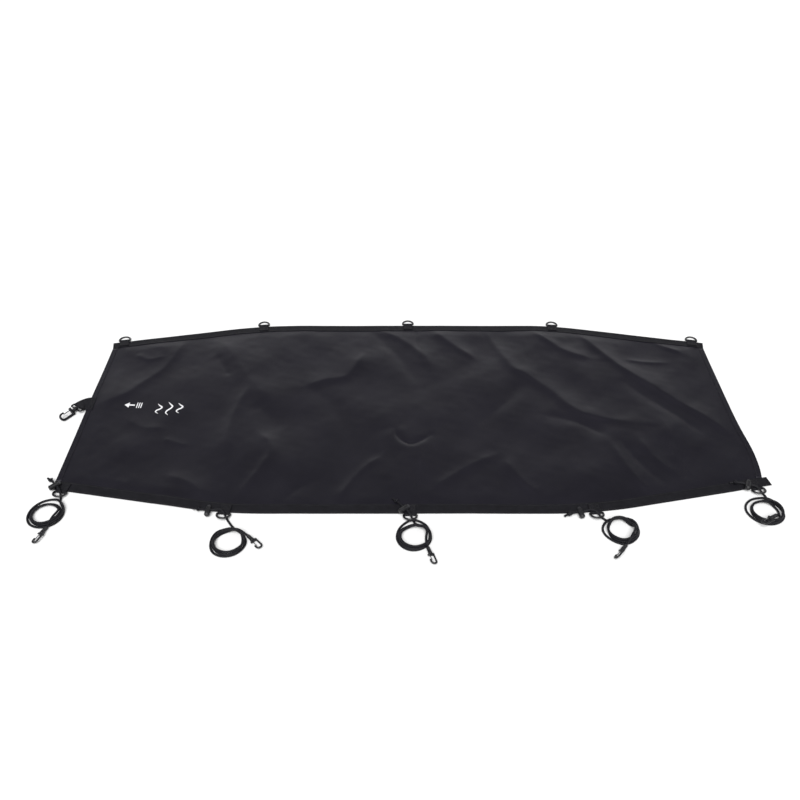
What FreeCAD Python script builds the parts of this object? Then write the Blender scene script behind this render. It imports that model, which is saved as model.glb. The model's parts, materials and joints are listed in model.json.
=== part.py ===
import FreeCAD, Part
import math
import os

import Sketcher
from FreeCAD import Placement, Rotation, Vector

# Kayak deck cover laid flat: a coated fabric panel with webbing along both long edges, five
# D-rings on the far edge, five bungee cords with cord locks and hooks on the near edge, and
# a swivel snap hook on a webbing tab at the bow.
# Row frame: origin at the middle of the underside, +X towards the stern, +Y towards the far
# edge, +Z up. Millimetres and degrees.

SIZES = [
    # fabric panel and edge webbing
    ("half_length", 800.0),
    ("half_mid_width", 346.5),
    ("half_end_width", 266.0),
    ("near_bow_half_width", 276.0),
    ("kink_x", 404.0),
    ("kink_radius", 1000.0),
    ("fabric_thickness", 0.8),
    ("webbing_width", 25.0),
    ("webbing_thickness", 1.2),
    ("band_overhang", 6.0),
    ("band_long_overhang", 15.0),
    ("hem_width", 12.0),
    ("hem_thickness", 1.8),
    ("end_station_x", 777.0),
    # D-rings and their webbing loops
    ("ring_inner_width", 25.0),
    ("ring_wire_radius", 2.0),
    ("ring_leg", 5.5),
    ("bar_offset", 4.5),
    ("bar_height", 3.35),
    ("near_ring_lift", 17.0),
    ("loop_tail", 20.0),
    ("bar_clearance", 0.05),
    # elastic cord and its coils
    ("cord_radius", 2.5),
    ("coil_height", 9.0),
    ("coil_ring_width", 13.0),
    ("knot_radius", 5.0),
    ("knot_half_length", 6.0),
    ("knot_tail", 9.0),
    # cord locks, measured from the cord along the barrel
    ("lock_radius", 6.0),
    ("lock_body_tail", 16.0),
    ("lock_body_mouth", 6.0),
    ("lock_floor", 3.5),
    ("lock_bore_radius", 4.2),
    ("lock_hole_radius", 2.8),
    ("button_radius", 4.1),
    ("button_top", 12.0),
    ("button_foot", 4.6),
    ("button_travel", 3.5),
    ("lock_spring_radius", 2.9),
    ("lock_spring_wire_radius", 0.35),
    ("lock_spring_turns", 4.5),
    # bungee hooks
    ("ferrule_length", 18.0),
    ("ferrule_back_radius", 3.9),
    ("ferrule_front_radius", 4.6),
    ("shoulder_start", 17.0),
    ("shoulder_length", 4.5),
    ("shoulder_width", 13.5),
    ("shoulder_thickness", 5.5),
    ("hook_bend_x", 37.0),
    ("hook_bend_radius", 6.0),
    ("hook_wire_radius", 1.9),
    ("hook_tip_length", 4.2),
    ("gate_radius", 0.8),
    ("gate_hub_radius", 1.5),
    ("gate_pin_radius", 0.8),
    ("gate_reach", 14.0),
    ("gate_pivot_x", 19.4),
    # bow tab and swivel snap hook
    ("tab_base_width", 46.0),
    ("tab_width", 30.0),
    ("tab_base_y", 13.0),
    ("eye_inner_width", 30.6),
    ("eye_depth", 10.0),
    ("eye_wire_radius", 2.0),
    ("eye_boss_radius", 4.2),
    ("eye_boss_length", 6.0),
    ("snap_stem_radius", 2.0),
    ("snap_head_radius", 3.6),
    ("snap_head_length", 2.4),
    ("snap_collar_radius", 4.5),
    ("snap_collar_length", 4.0),
    ("snap_shoulder_start", 18.5),
    ("snap_shoulder_length", 6.0),
    ("snap_shoulder_width", 20.0),
    ("snap_shoulder_thickness", 5.0),
    ("snap_bend_x", 46.0),
    ("snap_bend_radius", 8.3),
    ("snap_wire_radius", 2.2),
    ("snap_tip_length", 5.0),
    ("snap_gate_radius", 1.1),
    ("snap_gate_hub_radius", 2.0),
    ("snap_pin_radius", 0.9),
    ("snap_gate_reach", 20.0),
    ("snap_gate_pivot_x", 21.5),
    ("snap_pin_head_radius", 1.6),
    ("snap_pin_head_length", 0.6),
    ("running_gap", 0.1),
]

# One entry per station, bow to stern. Route points are in the station's own frame: x along
# the edge, y inwards from the edge, z up. The first point is the cord's knotted end.
# lock_at is the cord lock's distance from the second point, button_side is +1 where the
# button points to the left of the way to the knot. Coil and hook places are in the row frame.
STATIONS = [
    {
        "route": [(-37.0, 21.4, 7.4), (-28.0, 15.1, 9.7), (-1.5, -4.3, 12.0),
                  (7.0, -19.0, 2.8), (12.0, -33.5, 2.6)],
        "lock_at": 19.0, "button_side": -1,
        "coil": (-791.0, -349.5, 40.0),
        "hook": (-776.5, -388.0, 251.0, 18.0),
    },
    {
        "route": [(-57.0, -0.6, 7.6), (-47.0, -2.4, 8.1), (-24.0, -1.6, 8.4), (-12.0, 0.6, 10.4),
                  (-1.0, -4.4, 10.9), (9.0, -18.5, 2.7), (20.5, -33.0, 2.6), (32.0, -44.8, 2.6)],
        "lock_at": 11.0, "button_side": -1,
        "coil": (-383.0, -428.5, 39.0),
        "hook": (-343.5, -410.5, 315.0, 0.0),
    },
    {
        "route": [(-30.0, 31.0, 7.4), (-22.5, 21.0, 9.8), (-2.5, -4.0, 12.0),
                  (6.0, -19.0, 2.8), (9.5, -30.0, 2.6)],
        "lock_at": 14.0, "button_side": -1,
        "coil": (8.5, -413.5, 38.5),
        "hook": (36.0, -442.0, 288.0, -20.0),
    },
    {
        "route": [(-59.0, -5.0, 7.5), (-48.0, -2.6, 8.1), (-24.0, -1.6, 8.4), (-12.0, 0.6, 10.4),
                  (-1.0, -4.5, 10.6), (8.0, -18.5, 2.8), (14.0, -25.5, 2.6)],
        "lock_at": 11.0, "button_side": -1,
        "coil": (449.0, -394.5, 42.0),
        "hook": (450.0, -437.5, 229.5, 50.0),
    },
    {
        "route": [(-41.0, 19.5, 7.4), (-31.0, 15.2, 9.7), (-2.0, -3.6, 12.0),
                  (4.5, -19.0, 2.8), (6.5, -29.0, 2.6), (4.0, -38.0, 2.6)],
        "lock_at": 19.2, "button_side": -1,
        "coil": (774.0, -343.5, 41.5),
        "hook": (788.0, -361.0, 211.0, 0.0),
    },
]
HOOK_ON_COIL = 5
SNAP_HEADING = 235.0
SNAP_ROLL = -40.0
SNAP_BAR = Vector(-820.0, -3.0, 8.4)
BENDS_PER_TURN = 8

os.makedirs("parts", exist_ok=True)
doc = FreeCAD.newDocument("DeckCover")
sheet = doc.addObject("Spreadsheet::Sheet", "Sizes")
for row, (size_name, value) in enumerate(SIZES, start=1):
    sheet.set(f"A{row}", size_name)
    sheet.set(f"B{row}", str(value))
    sheet.setAlias(f"B{row}", size_name)
doc.recompute()
nodes = []


def size(name):
    """Value of one cell of the sheet."""
    return float(sheet.get(name))


def value_of(expression):
    """Number that an expression on the sheet comes to."""
    return float(sheet.evalExpression(expression))


def keep(obj, label):
    """Name a finished sub-part and put it on the list of nodes."""
    obj.Label = label
    nodes.append(obj)
    return obj


# ---------------------------------------------------------------- primitives and booleans

TO_X = Rotation(Vector(0, 1, 0), 90)
TO_Y = Rotation(Vector(1, 0, 0), -90)
TO_Z = Rotation()


def primitive(kind, name, sizes, base=(), turn=TO_Z):
    """A Part primitive whose sizes and base point are expressions on the sheet."""
    obj = doc.addObject(kind, name)
    obj.Placement = Placement(Vector(), turn)
    for prop, expression in sizes.items():
        obj.setExpression(prop, expression)
    for axis, expression in zip("xyz", base):
        obj.setExpression(f"Placement.Base.{axis}", expression)
    return obj


def cylinder(name, radius, height, base=(), turn=TO_Z):
    return primitive("Part::Cylinder", name, {"Radius": radius, "Height": height}, base, turn)


def box(name, length, width, height, base=()):
    return primitive("Part::Box", name, {"Length": length, "Width": width, "Height": height}, base)


def ball(name, radius, base=()):
    return primitive("Part::Sphere", name, {"Radius": radius}, base)


def half_torus(name, ring_radius, wire_radius, base, turn):
    obj = primitive("Part::Torus", name, {"Radius1": ring_radius, "Radius2": wire_radius}, base, turn)
    obj.Angle3 = 180
    return obj


def fuse(name, shapes, place=Placement()):
    obj = doc.addObject("Part::MultiFuse", name)
    obj.Shapes = shapes
    obj.Placement = place
    return obj


def cut(name, base, tool, place=Placement()):
    obj = doc.addObject("Part::Cut", name)
    obj.Base = base
    obj.Tool = tool
    obj.Placement = place
    return obj


def group(name, members):
    obj = doc.addObject("Part::Compound", name)
    obj.Links = members
    return obj


# ---------------------------------------------------------------- sketched bodies


def origin_plane(body, role):
    return next(plane for plane in body.Origin.OriginFeatures if plane.Role == role)


def new_sketch(body, name, role):
    sketch = body.newObject("Sketcher::SketchObject", name)
    sketch.AttachmentSupport = (origin_plane(body, role), [""])
    sketch.MapMode = "FlatFace"
    return sketch


def draw_polygon(sketch, corners):
    """Closed outline whose corner coordinates are expressions on the sheet."""
    points = [Vector(value_of(x), value_of(y), 0) for x, y in corners]
    for start, end in zip(points, points[1:] + points[:1]):
        sketch.addGeometry(Part.LineSegment(start, end), False)
    count = len(points)
    for index in range(count):
        following = (index + 1) % count
        sketch.addConstraint(Sketcher.Constraint("Coincident", index, 2, following, 1))
    for index, (x, y) in enumerate(corners):
        for kind, expression in (("DistanceX", x), ("DistanceY", y)):
            place = getattr(points[index], kind[-1].lower())
            made = sketch.addConstraint(Sketcher.Constraint(kind, -1, 1, index, 1, place))
            sketch.setExpression(f"Constraints[{made}]", expression)


def upright_edges(shape, places):
    """Names of the vertical edges that stand on the given (x, y) places."""
    found = []
    for index, edge in enumerate(shape.Edges, start=1):
        foot, top = edge.Vertexes[0].Point, edge.Vertexes[-1].Point
        upright = abs(foot.x - top.x) < 1e-6 and abs(foot.y - top.y) < 1e-6
        if upright and any(abs(foot.x - x) < 0.01 and abs(foot.y - y) < 0.01 for x, y in places):
            found.append(f"Edge{index}")
    return found


def sheet_body(name, corners, thickness, height, roundings):
    """Flat padded body, its named corners rounded, with its underside at the given height."""
    body = doc.addObject("PartDesign::Body", name)
    sketch = new_sketch(body, name + "_outline", "XY_Plane")
    draw_polygon(sketch, corners)
    pad = body.newObject("PartDesign::Pad", name + "_pad")
    pad.Profile = sketch
    pad.setExpression("Length", thickness)
    doc.recompute()
    base = pad
    for number, (radius, places) in enumerate(roundings):
        rounding = body.newObject("PartDesign::Fillet", f"{name}_rounding_{number}")
        spots = [(value_of(x), value_of(y)) for x, y in places]
        rounding.Base = (base, upright_edges(base.Shape, spots))
        rounding.setExpression("Radius", radius)
        doc.recompute()
        base = rounding
    body.Placement = Placement(Vector(0, 0, value_of(height)), Rotation())
    return body


MID = "Sizes.half_mid_width"
END = "Sizes.half_end_width"
KINK = "Sizes.kink_x"
LENGTH = "Sizes.half_length"
NEAR_BOW = "Sizes.near_bow_half_width"


def deck_panel():
    corners = [
        (f"-{LENGTH}", f"-{NEAR_BOW}"), (f"-{KINK}", f"-{MID}"), (KINK, f"-{MID}"),
        (LENGTH, f"-{END}"), (LENGTH, END), (KINK, MID), (f"-{KINK}", MID), (f"-{LENGTH}", END),
    ]
    kinks = [corners[1], corners[2], corners[5], corners[6]]
    keep(sheet_body("deck_panel", corners, "Sizes.fabric_thickness", "0",
                    [("Sizes.kink_radius", kinks)]), "deck_panel")


def edge_band(name, side, bow_half, stern_overhang):
    """Webbing strip along one long edge, on top of the panel; side is + far or - near."""
    sign = "-" if side < 0 else ""
    width = "Sizes.webbing_width"

    def slope(half):
        return f"(({MID} - {half}) / ({LENGTH} - {KINK}))"

    def outer(half, overhang):
        reach = f"({LENGTH} + {overhang})"
        return reach, f"{sign}({half} - {slope(half)} * {overhang})"

    def inner(half, overhang):
        lean = f"atan({slope(half)})"
        along, height = outer(half, overhang)
        return f"({along} - {width} * sin({lean}))", f"{height} - {sign or '+'}{width} * cos({lean})"

    def inner_kink(half):
        return f"({KINK} - {width} * tan(atan({slope(half)}) / 2))", f"{sign}({MID} - {width})"

    def mirrored(point):
        return f"-{point[0]}", point[1]

    overhang = "Sizes.band_overhang"
    outside = [mirrored(outer(bow_half, overhang)), (f"-{KINK}", f"{sign}{MID}"),
               (KINK, f"{sign}{MID}"), outer(END, stern_overhang)]
    inside = [inner(END, stern_overhang), inner_kink(END), mirrored(inner_kink(bow_half)),
              mirrored(inner(bow_half, overhang))]
    corners = outside + inside
    keep(sheet_body(name, corners, "Sizes.webbing_thickness", "Sizes.fabric_thickness",
                    [("Sizes.kink_radius", [corners[1], corners[2]]),
                     ("Sizes.kink_radius - Sizes.webbing_width", [corners[5], corners[6]])]), name)


def end_hem(name, start, low_half, high_half):
    """Rolled hem on top of the panel, between the two edge bands."""
    seam = "Sizes.webbing_width * 1.03 + Sizes.running_gap"
    keep(box(name, "Sizes.hem_width", f"{low_half} + {high_half} - 2 * ({seam})",
             "Sizes.hem_thickness", (start, f"-{low_half} + {seam}", "Sizes.fabric_thickness")), name)


# ---------------------------------------------------------------- stations along the edges


def edge_shape(x, end_half):
    """Half width and lean of the long edge at a distance from the middle."""
    lean = math.atan((size("half_mid_width") - end_half) / (size("half_length") - size("kink_x")))
    radius = size("kink_radius")
    start = size("kink_x") - radius * math.tan(lean / 2)
    along = abs(x)
    if along <= start:
        return size("half_mid_width"), 0.0
    if along - start < radius * math.sin(lean):
        turned = math.asin((along - start) / radius)
        return size("half_mid_width") - radius * (1 - math.cos(turned)), turned
    return end_half + (size("half_length") - along) * math.tan(lean), lean


def station_x(number):
    """Place of a station along the length, 1 at the bow to 5 at the stern."""
    return (-size("end_station_x"), -size("kink_x"), 0.0, size("kink_x"),
            size("end_station_x"))[number - 1]


def near_frame(number):
    """Frame at the near edge: x along the edge, y inwards, z up."""
    x = station_x(number)
    end_half = size("near_bow_half_width") if x < 0 else size("half_end_width")
    half, lean = edge_shape(x, end_half)
    return Placement(Vector(x, -half, 0), Rotation(Vector(0, 0, 1), math.copysign(math.degrees(lean), x)))


def far_frame(number):
    """Frame at the far edge: y inwards again, so x points towards the bow."""
    x = station_x(number)
    half, lean = edge_shape(x, size("half_end_width"))
    turn = 180 - math.copysign(math.degrees(lean), x)
    return Placement(Vector(x, half, 0), Rotation(Vector(0, 0, 1), turn))


def bar_place(frame, lift):
    """Frame on a ring's bar with its bow lifted by an angle."""
    bar = Placement(Vector(0, -size("bar_offset"), size("bar_height")), Rotation(Vector(1, 0, 0), -lift))
    return frame.multiply(bar)


def far_ring_lift():
    """Angle at which a far ring's bow rests on the ground."""
    reach = size("ring_leg") + size("ring_inner_width") / 2 + size("ring_wire_radius")
    return -math.degrees(math.asin((size("bar_height") - size("ring_wire_radius")) / reach))


def d_ring(name, place):
    """Bent-wire D: a bar along x and a bow towards -y."""
    wire = "Sizes.ring_wire_radius"
    half = "(Sizes.ring_inner_width / 2 + Sizes.ring_wire_radius)"
    bar = cylinder(name + "_bar", wire, f"2 * {half}", (f"-{half}", "0", "0"), TO_X)
    pieces = [bar]
    for side, sign in (("left", "-"), ("right", "")):
        end = (f"{sign}{half}", "0", "0")
        leg_start = (f"{sign}{half}", "-Sizes.ring_leg", "0")
        pieces.append(ball(f"{name}_{side}_corner", wire, end))
        pieces.append(cylinder(f"{name}_{side}_leg", wire, "Sizes.ring_leg", leg_start, TO_Y))
    pieces.append(half_torus(name + "_bow", half, wire, ("0", "-Sizes.ring_leg", "0"),
                             Rotation(Vector(0, 0, 1), 180)))
    keep(fuse(name + "_wire", pieces, place), name)


def ring_loop(name, place):
    """Webbing folded round a ring's bar, its two-layer tail sewn on the edge band."""
    hole = "(Sizes.ring_wire_radius + Sizes.bar_clearance)"
    skin = "Sizes.webbing_thickness"
    width = "Sizes.webbing_width"
    along = f"-{width} / 2"
    bar = (along, "-Sizes.bar_offset", "Sizes.bar_height")
    tail = box(name + "_tail", width, "Sizes.loop_tail + Sizes.bar_offset", f"2 * {skin}",
               (along, "-Sizes.bar_offset", f"Sizes.fabric_thickness + {skin}"))
    wrap = cylinder(name + "_wrap", f"{hole} + {skin}", width, bar, TO_X)
    bore = cylinder(name + "_bore", hole, width, bar, TO_X)
    return cut(name, fuse(name + "_webbing", [tail, wrap]), bore, place)


# ---------------------------------------------------------------- cords


def rounded_path(points):
    """Straight runs joined by tangent arcs as large as the runs allow."""
    edges = []
    radii = []
    start = points[0]
    for before, corner, after in zip(points, points[1:], points[2:]):
        way_in = (corner - before).normalize()
        way_out = (after - corner).normalize()
        turn = way_in.getAngle(way_out)
        setback = 0.45 * min((corner - before).Length, (after - corner).Length)
        radius = setback / math.tan(turn / 2)
        arc_start = corner - way_in * setback
        arc_end = corner + way_out * setback
        inwards = (way_out - way_in).normalize()
        centre = corner + inwards * math.hypot(radius, setback)
        middle = centre - inwards * radius
        edges.append(Part.LineSegment(start, arc_start).toShape())
        edges.append(Part.Arc(arc_start, middle, arc_end).toShape())
        radii.append(radius)
        start = arc_end
    edges.append(Part.LineSegment(start, points[-1]).toShape())
    return Part.Wire(edges), radii


def route_points(number):
    """Route of a cord's lead in the row frame, from its knotted end to its coil."""
    frame = near_frame(number)
    return [frame.multVec(Vector(*point)) for point in STATIONS[number - 1]["route"]]


def tube_along(path, radius):
    """Round solid of a wire radius along a path of runs and arcs."""
    start = path.Edges[0]
    heading = start.tangentAt(start.FirstParameter)
    section = Part.Wire(Part.Circle(start.Vertexes[0].Point, heading, radius).toShape())
    return path.makePipeShell([section], True, False)


def cord_lead(number):
    """Tube of the cord from the knot through the lock and the ring to the coil."""
    path, radii = rounded_path(route_points(number))
    tube = tube_along(path, size("cord_radius"))
    obj = doc.addObject("Part::Feature", f"cord_lead_{number}_tube")
    obj.Shape = tube
    expected = math.pi * size("cord_radius") ** 2 * path.Length
    print(f"cord_lead_{number} length {path.Length:.1f} volume share {tube.Volume / expected:.4f} radii",
          " ".join(f"{radius:.1f}" for radius in radii))
    keep(obj, f"cord_lead_{number}")


def cord_coil(number):
    """Outer shape of the coiled rest of the cord, as one flat ring."""
    x, y, radius = STATIONS[number - 1]["coil"]
    name = f"cord_coil_{number}"
    height = "Sizes.coil_height"
    outer = cylinder(name + "_outer", f"{radius}", height)
    inner = cylinder(name + "_inner", f"{radius} - Sizes.coil_ring_width", height)
    keep(cut(name + "_ring", outer, inner, Placement(Vector(x, y, 0), Rotation())), name)


def stopper_knot(number):
    """Overhand knot at the cord's end with the short tail that sticks out of it."""
    points = route_points(number)
    way = (points[0] - points[1]).normalize()
    name = f"knot_{number}"
    radius = "Sizes.knot_radius"
    reach = "(Sizes.knot_half_length - Sizes.knot_radius)"
    pieces = [cylinder(name + "_middle", radius, f"2 * {reach}", ("0", "0", f"-{reach}")),
              cylinder(name + "_tail", "Sizes.cord_radius", "Sizes.knot_tail",
                       ("0", "0", "Sizes.knot_half_length - 2 * Sizes.cord_radius"))]
    for end, sign in (("inner", "-"), ("outer", "")):
        pieces.append(ball(f"{name}_{end}_end", radius, ("0", "0", f"{sign}{reach}")))
    return fuse(name, pieces, Placement(points[0], Rotation(Vector(0, 0, 1), way)))


# ---------------------------------------------------------------- cord locks


def lock_place(number, slide=0.0):
    """Frame of a cord lock: x along the cord towards the knot, y along the barrel, button at +y."""
    station = STATIONS[number - 1]
    points = route_points(number)
    before_ring = 2
    start, end = points[before_ring], points[1]
    along = (end - start).normalize()
    across = Vector(0, 0, 1).cross(along).normalize() * station["button_side"]
    upright = along.cross(across)
    origin = start + along * (station["lock_at"] + slide)
    return Placement(origin, Rotation(along, across, upright, "XYZ"))


def lock_body(number):
    """Barrel of the cord lock: revolved cup with a hole across it for the cord."""
    name = f"toggle_body_{number}"
    body = doc.addObject("PartDesign::Body", name)
    profile = new_sketch(body, name + "_profile", "XY_Plane")
    tail = "Sizes.lock_body_tail"
    mouth = "Sizes.lock_body_mouth"
    outer = "Sizes.lock_radius"
    bore = "Sizes.lock_bore_radius"
    floor = f"(Sizes.lock_floor - {tail})"
    draw_polygon(profile, [
        ("0.0001", f"-{tail}"), (f"{outer} - 2", f"-{tail}"), (outer, f"-{tail} + 2"),
        (outer, f"{mouth} - 0.6"), (f"{outer} - 0.6", mouth), (bore, mouth), (bore, floor),
        ("0.0001", floor),
    ])
    turned = body.newObject("PartDesign::Revolution", name + "_turned")
    turned.Profile = profile
    turned.ReferenceAxis = (profile, ["V_Axis"])
    turned.Angle = 360
    hole = new_sketch(body, name + "_hole_outline", "YZ_Plane")
    hole.addGeometry(Part.Circle(Vector(), Vector(0, 0, 1), size("lock_hole_radius")), False)
    hole.addConstraint(Sketcher.Constraint("Coincident", 0, 3, -1, 1))
    made = hole.addConstraint(Sketcher.Constraint("Radius", 0, size("lock_hole_radius")))
    hole.setExpression(f"Constraints[{made}]", "Sizes.lock_hole_radius")
    pocket = body.newObject("PartDesign::Pocket", name + "_hole")
    pocket.Profile = hole
    pocket.Type = "ThroughAll"
    pocket.Midplane = True
    body.Placement = lock_place(number)
    keep(body, name)


def lock_button(number):
    """Sprung plunger with a slot that the cord passes through."""
    name = f"toggle_button_{number}"
    hole = "Sizes.lock_hole_radius"
    travel = "Sizes.button_travel"
    span = "2 * Sizes.lock_radius"
    start = f"-{span} / 2"
    stem_length = "Sizes.button_foot + Sizes.button_top - 1.5"
    stem = cylinder(name + "_stem", "Sizes.button_radius", stem_length,
                    ("0", "-Sizes.button_foot", "0"), TO_Y)
    cap = primitive("Part::Cone", name + "_cap", {
        "Radius1": "Sizes.button_radius", "Radius2": "Sizes.button_radius - 1.2", "Height": "1.5"},
        ("0", "Sizes.button_top - 1.5", "0"), TO_Y)
    low = cylinder(name + "_slot_low", hole, span, (start, "0", "0"), TO_X)
    high = cylinder(name + "_slot_high", hole, span, (start, travel, "0"), TO_X)
    middle = box(name + "_slot_middle", span, travel, f"2 * {hole}", (start, "0", f"-{hole}"))
    solid = fuse(name + "_solid", [stem, cap])
    slot = fuse(name + "_slot", [low, high, middle])
    keep(cut(name + "_plunger", solid, slot, lock_place(number)), name)


def lock_spring(number):
    """Compression spring between the plunger's foot and the bottom of the barrel."""
    name = f"toggle_spring_{number}"
    wire = size("lock_spring_wire_radius")
    winding = size("lock_spring_radius")
    gap = size("running_gap")
    floor = size("lock_floor") - size("lock_body_tail") + gap + wire
    height = -size("button_foot") - gap - wire - floor
    bends = int(size("lock_spring_turns") * BENDS_PER_TURN)
    points = []
    for bend in range(bends + 1):
        angle = 2 * math.pi * bend / BENDS_PER_TURN
        points.append(Vector(winding * math.cos(angle), floor + height * bend / bends,
                             winding * math.sin(angle)))
    path, _ = rounded_path(points)
    obj = doc.addObject("Part::Feature", name + "_coil")
    obj.Shape = tube_along(path, wire)
    obj.Placement = lock_place(number)
    keep(obj, name)


# ---------------------------------------------------------------- hooks


def hook_wire(name, wire, bend, bend_x, spine_start, tip_length):
    """J of round wire: spine at +y, half-round end, and a short tip at -y."""
    tip_x = f"{bend_x} - {tip_length}"
    return [
        cylinder(name + "_spine", wire, f"{bend_x} - {spine_start}", (spine_start, bend, "0"), TO_X),
        half_torus(name + "_bend", bend, wire, (bend_x, "0", "0"), Rotation(Vector(0, 0, 1), -90)),
        cylinder(name + "_tip", wire, tip_length, (tip_x, f"-{bend}", "0"), TO_X),
        ball(name + "_tip_end", wire, (tip_x, f"-{bend}", "0")),
    ]


def shoulder_cuts(name, start, length, width, thickness, hub, pin, pivot_x, pivot_y):
    """Gate slot and pin hole in a hook's shoulder."""
    play = "Sizes.running_gap"
    slot = box(name + "_slot", f"{length} + 1", f"{width} / 2 + 1.6", f"2 * ({hub} - 0.4 + {play})",
               (f"{pivot_x} - {hub} - 3 * {play}", f"-{width} / 2", f"-({hub} - 0.4 + {play})"))
    hole = cylinder(name + "_pin_hole", f"{pin} + Sizes.bar_clearance", thickness,
                    (pivot_x, pivot_y, f"-{thickness} / 2"))
    return fuse(name + "_cuts", [slot, hole])


def gate_lever(name, radius, hub, pivot_x, pivot_y, reach):
    """Straight lever from the hub to the inside of the hook's tip."""
    return [
        cylinder(name + "_hub", hub, f"2 * ({hub} - 0.4)", (pivot_x, pivot_y, f"-({hub} - 0.4)")),
        cylinder(name + "_lever", radius, reach, (pivot_x, pivot_y, "0"), TO_X),
        ball(name + "_end", radius, (f"{pivot_x} + {reach}", pivot_y, "0")),
    ]


HOOK_GATE_Y = "-(Sizes.hook_bend_radius - Sizes.hook_wire_radius - Sizes.gate_radius - 0.2)"
SNAP_GATE_Y = "-(Sizes.snap_bend_radius - Sizes.snap_wire_radius - Sizes.snap_gate_radius - 0.2)"


def lowest_point(shape, turn):
    """Lowest point of a shape once it is turned about its origin."""
    turned = shape.copy()
    turned.Placement = Placement(Vector(), turn)
    return turned.optimalBoundingBox(True, False).ZMin


def hook_turn(heading, roll):
    return Rotation(Vector(0, 0, 1), heading).multiply(Rotation(Vector(1, 0, 0), roll))


hook_places = {}


def bungee_hook(number):
    """Moulded hook on the cord's end: crimped ferrule, shoulder and J, with a sprung gate."""
    name = f"hook_body_{number}"
    ferrule = primitive("Part::Cone", name + "_ferrule", {
        "Radius1": "Sizes.ferrule_back_radius", "Radius2": "Sizes.ferrule_front_radius",
        "Height": "Sizes.ferrule_length"}, ("0", "0", "0"), TO_X)
    start = "Sizes.shoulder_start"
    width = "Sizes.shoulder_width"
    thickness = "Sizes.shoulder_thickness"
    shoulder = box(name + "_shoulder", "Sizes.shoulder_length", width, thickness,
                   (start, f"-{width} / 2", f"-{thickness} / 2"))
    wire = hook_wire(name, "Sizes.hook_wire_radius", "Sizes.hook_bend_radius", "Sizes.hook_bend_x",
                     "Sizes.shoulder_start + 1", "Sizes.hook_tip_length")
    solid = fuse(name + "_solid", [ferrule, shoulder] + wire)
    cuts = shoulder_cuts(name, start, "Sizes.shoulder_length", width, thickness,
                         "Sizes.gate_hub_radius", "Sizes.gate_pin_radius", "Sizes.gate_pivot_x",
                         HOOK_GATE_Y)
    body = cut(name + "_moulding", solid, cuts)
    doc.recompute()
    x, y, heading, roll = STATIONS[number - 1]["hook"]
    turn = hook_turn(heading, roll)
    floor = size("coil_height") if number == HOOK_ON_COIL else 0.0
    height = floor + size("running_gap") - lowest_point(body.Shape, turn)
    place = Placement(Vector(x, y, height), turn)
    hook_places[number] = place
    body.Placement = place
    keep(body, name)
    gate_name = f"hook_gate_{number}"
    gate = gate_lever(gate_name, "Sizes.gate_radius", "Sizes.gate_hub_radius", "Sizes.gate_pivot_x",
                      HOOK_GATE_Y, "Sizes.gate_reach")
    gate.append(cylinder(gate_name + "_pin", "Sizes.gate_pin_radius", f"{thickness} - 0.2",
                         ("Sizes.gate_pivot_x", HOOK_GATE_Y, f"0.1 - {thickness} / 2")))
    keep(fuse(gate_name + "_wire", gate, place), gate_name)


# ---------------------------------------------------------------- bow tab and snap hook


def snap_frame():
    """Frame on the bar that the tab holds: x along the snap hook, y along the bar."""
    return Placement(SNAP_BAR, Rotation(Vector(0, 0, 1), SNAP_HEADING))


def snap_hook_frame():
    """The same frame turned about the swivel."""
    return snap_frame().multiply(Placement(Vector(), Rotation(Vector(1, 0, 0), SNAP_ROLL)))


def upright_rectangle(middle, across, width, height):
    """Closed rectangle on edge, its width along a level direction."""
    side = across * (width / 2)
    rise = Vector(0, 0, height / 2)
    corners = [middle - side - rise, middle + side - rise, middle + side + rise, middle - side + rise]
    return Part.makePolygon(corners + corners[:1])


def bow_tab():
    """Two layers of webbing sewn on the bow hem, drawn askew to the snap hook's eye."""
    skin = size("webbing_thickness")
    layers = 2 * skin
    frame = snap_frame()
    sewn_height = size("fabric_thickness") + size("hem_thickness") + layers / 2
    edge_x = -size("half_length")
    base = Vector(edge_x + size("hem_width"), size("tab_base_y"), sewn_height)
    edge = Vector(edge_x, size("tab_base_y"), sewn_height)
    hole = size("eye_wire_radius") + size("bar_clearance")
    fold = frame.multVec(Vector(-hole, 0, 0))
    across_edge = Vector(0, 1, 0)
    across_bar = frame.Rotation.multVec(Vector(0, -1, 0))
    base_width = size("tab_base_width")
    sewn = Part.makeLoft([upright_rectangle(base, across_edge, base_width, layers),
                          upright_rectangle(edge, across_edge, base_width, layers)], True, True)
    free = Part.makeLoft([upright_rectangle(edge, across_edge, base_width, layers),
                          upright_rectangle(fold, across_bar, size("tab_width"), layers)], True, True)
    along_bar = frame.Rotation.multVec(Vector(0, 1, 0))
    bar_start = frame.multVec(Vector(0, -size("tab_width") / 2, 0))
    wrap = Part.makeCylinder(hole + skin, size("tab_width"), bar_start, along_bar)
    bore = Part.makeCylinder(hole, size("tab_width") + 4, bar_start - along_bar * 2, along_bar)
    obj = doc.addObject("Part::Feature", "bow_tab_webbing")
    obj.Shape = sewn.fuse([free, wrap]).cut(bore).removeSplitter()
    keep(obj, "bow_tab")


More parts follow.
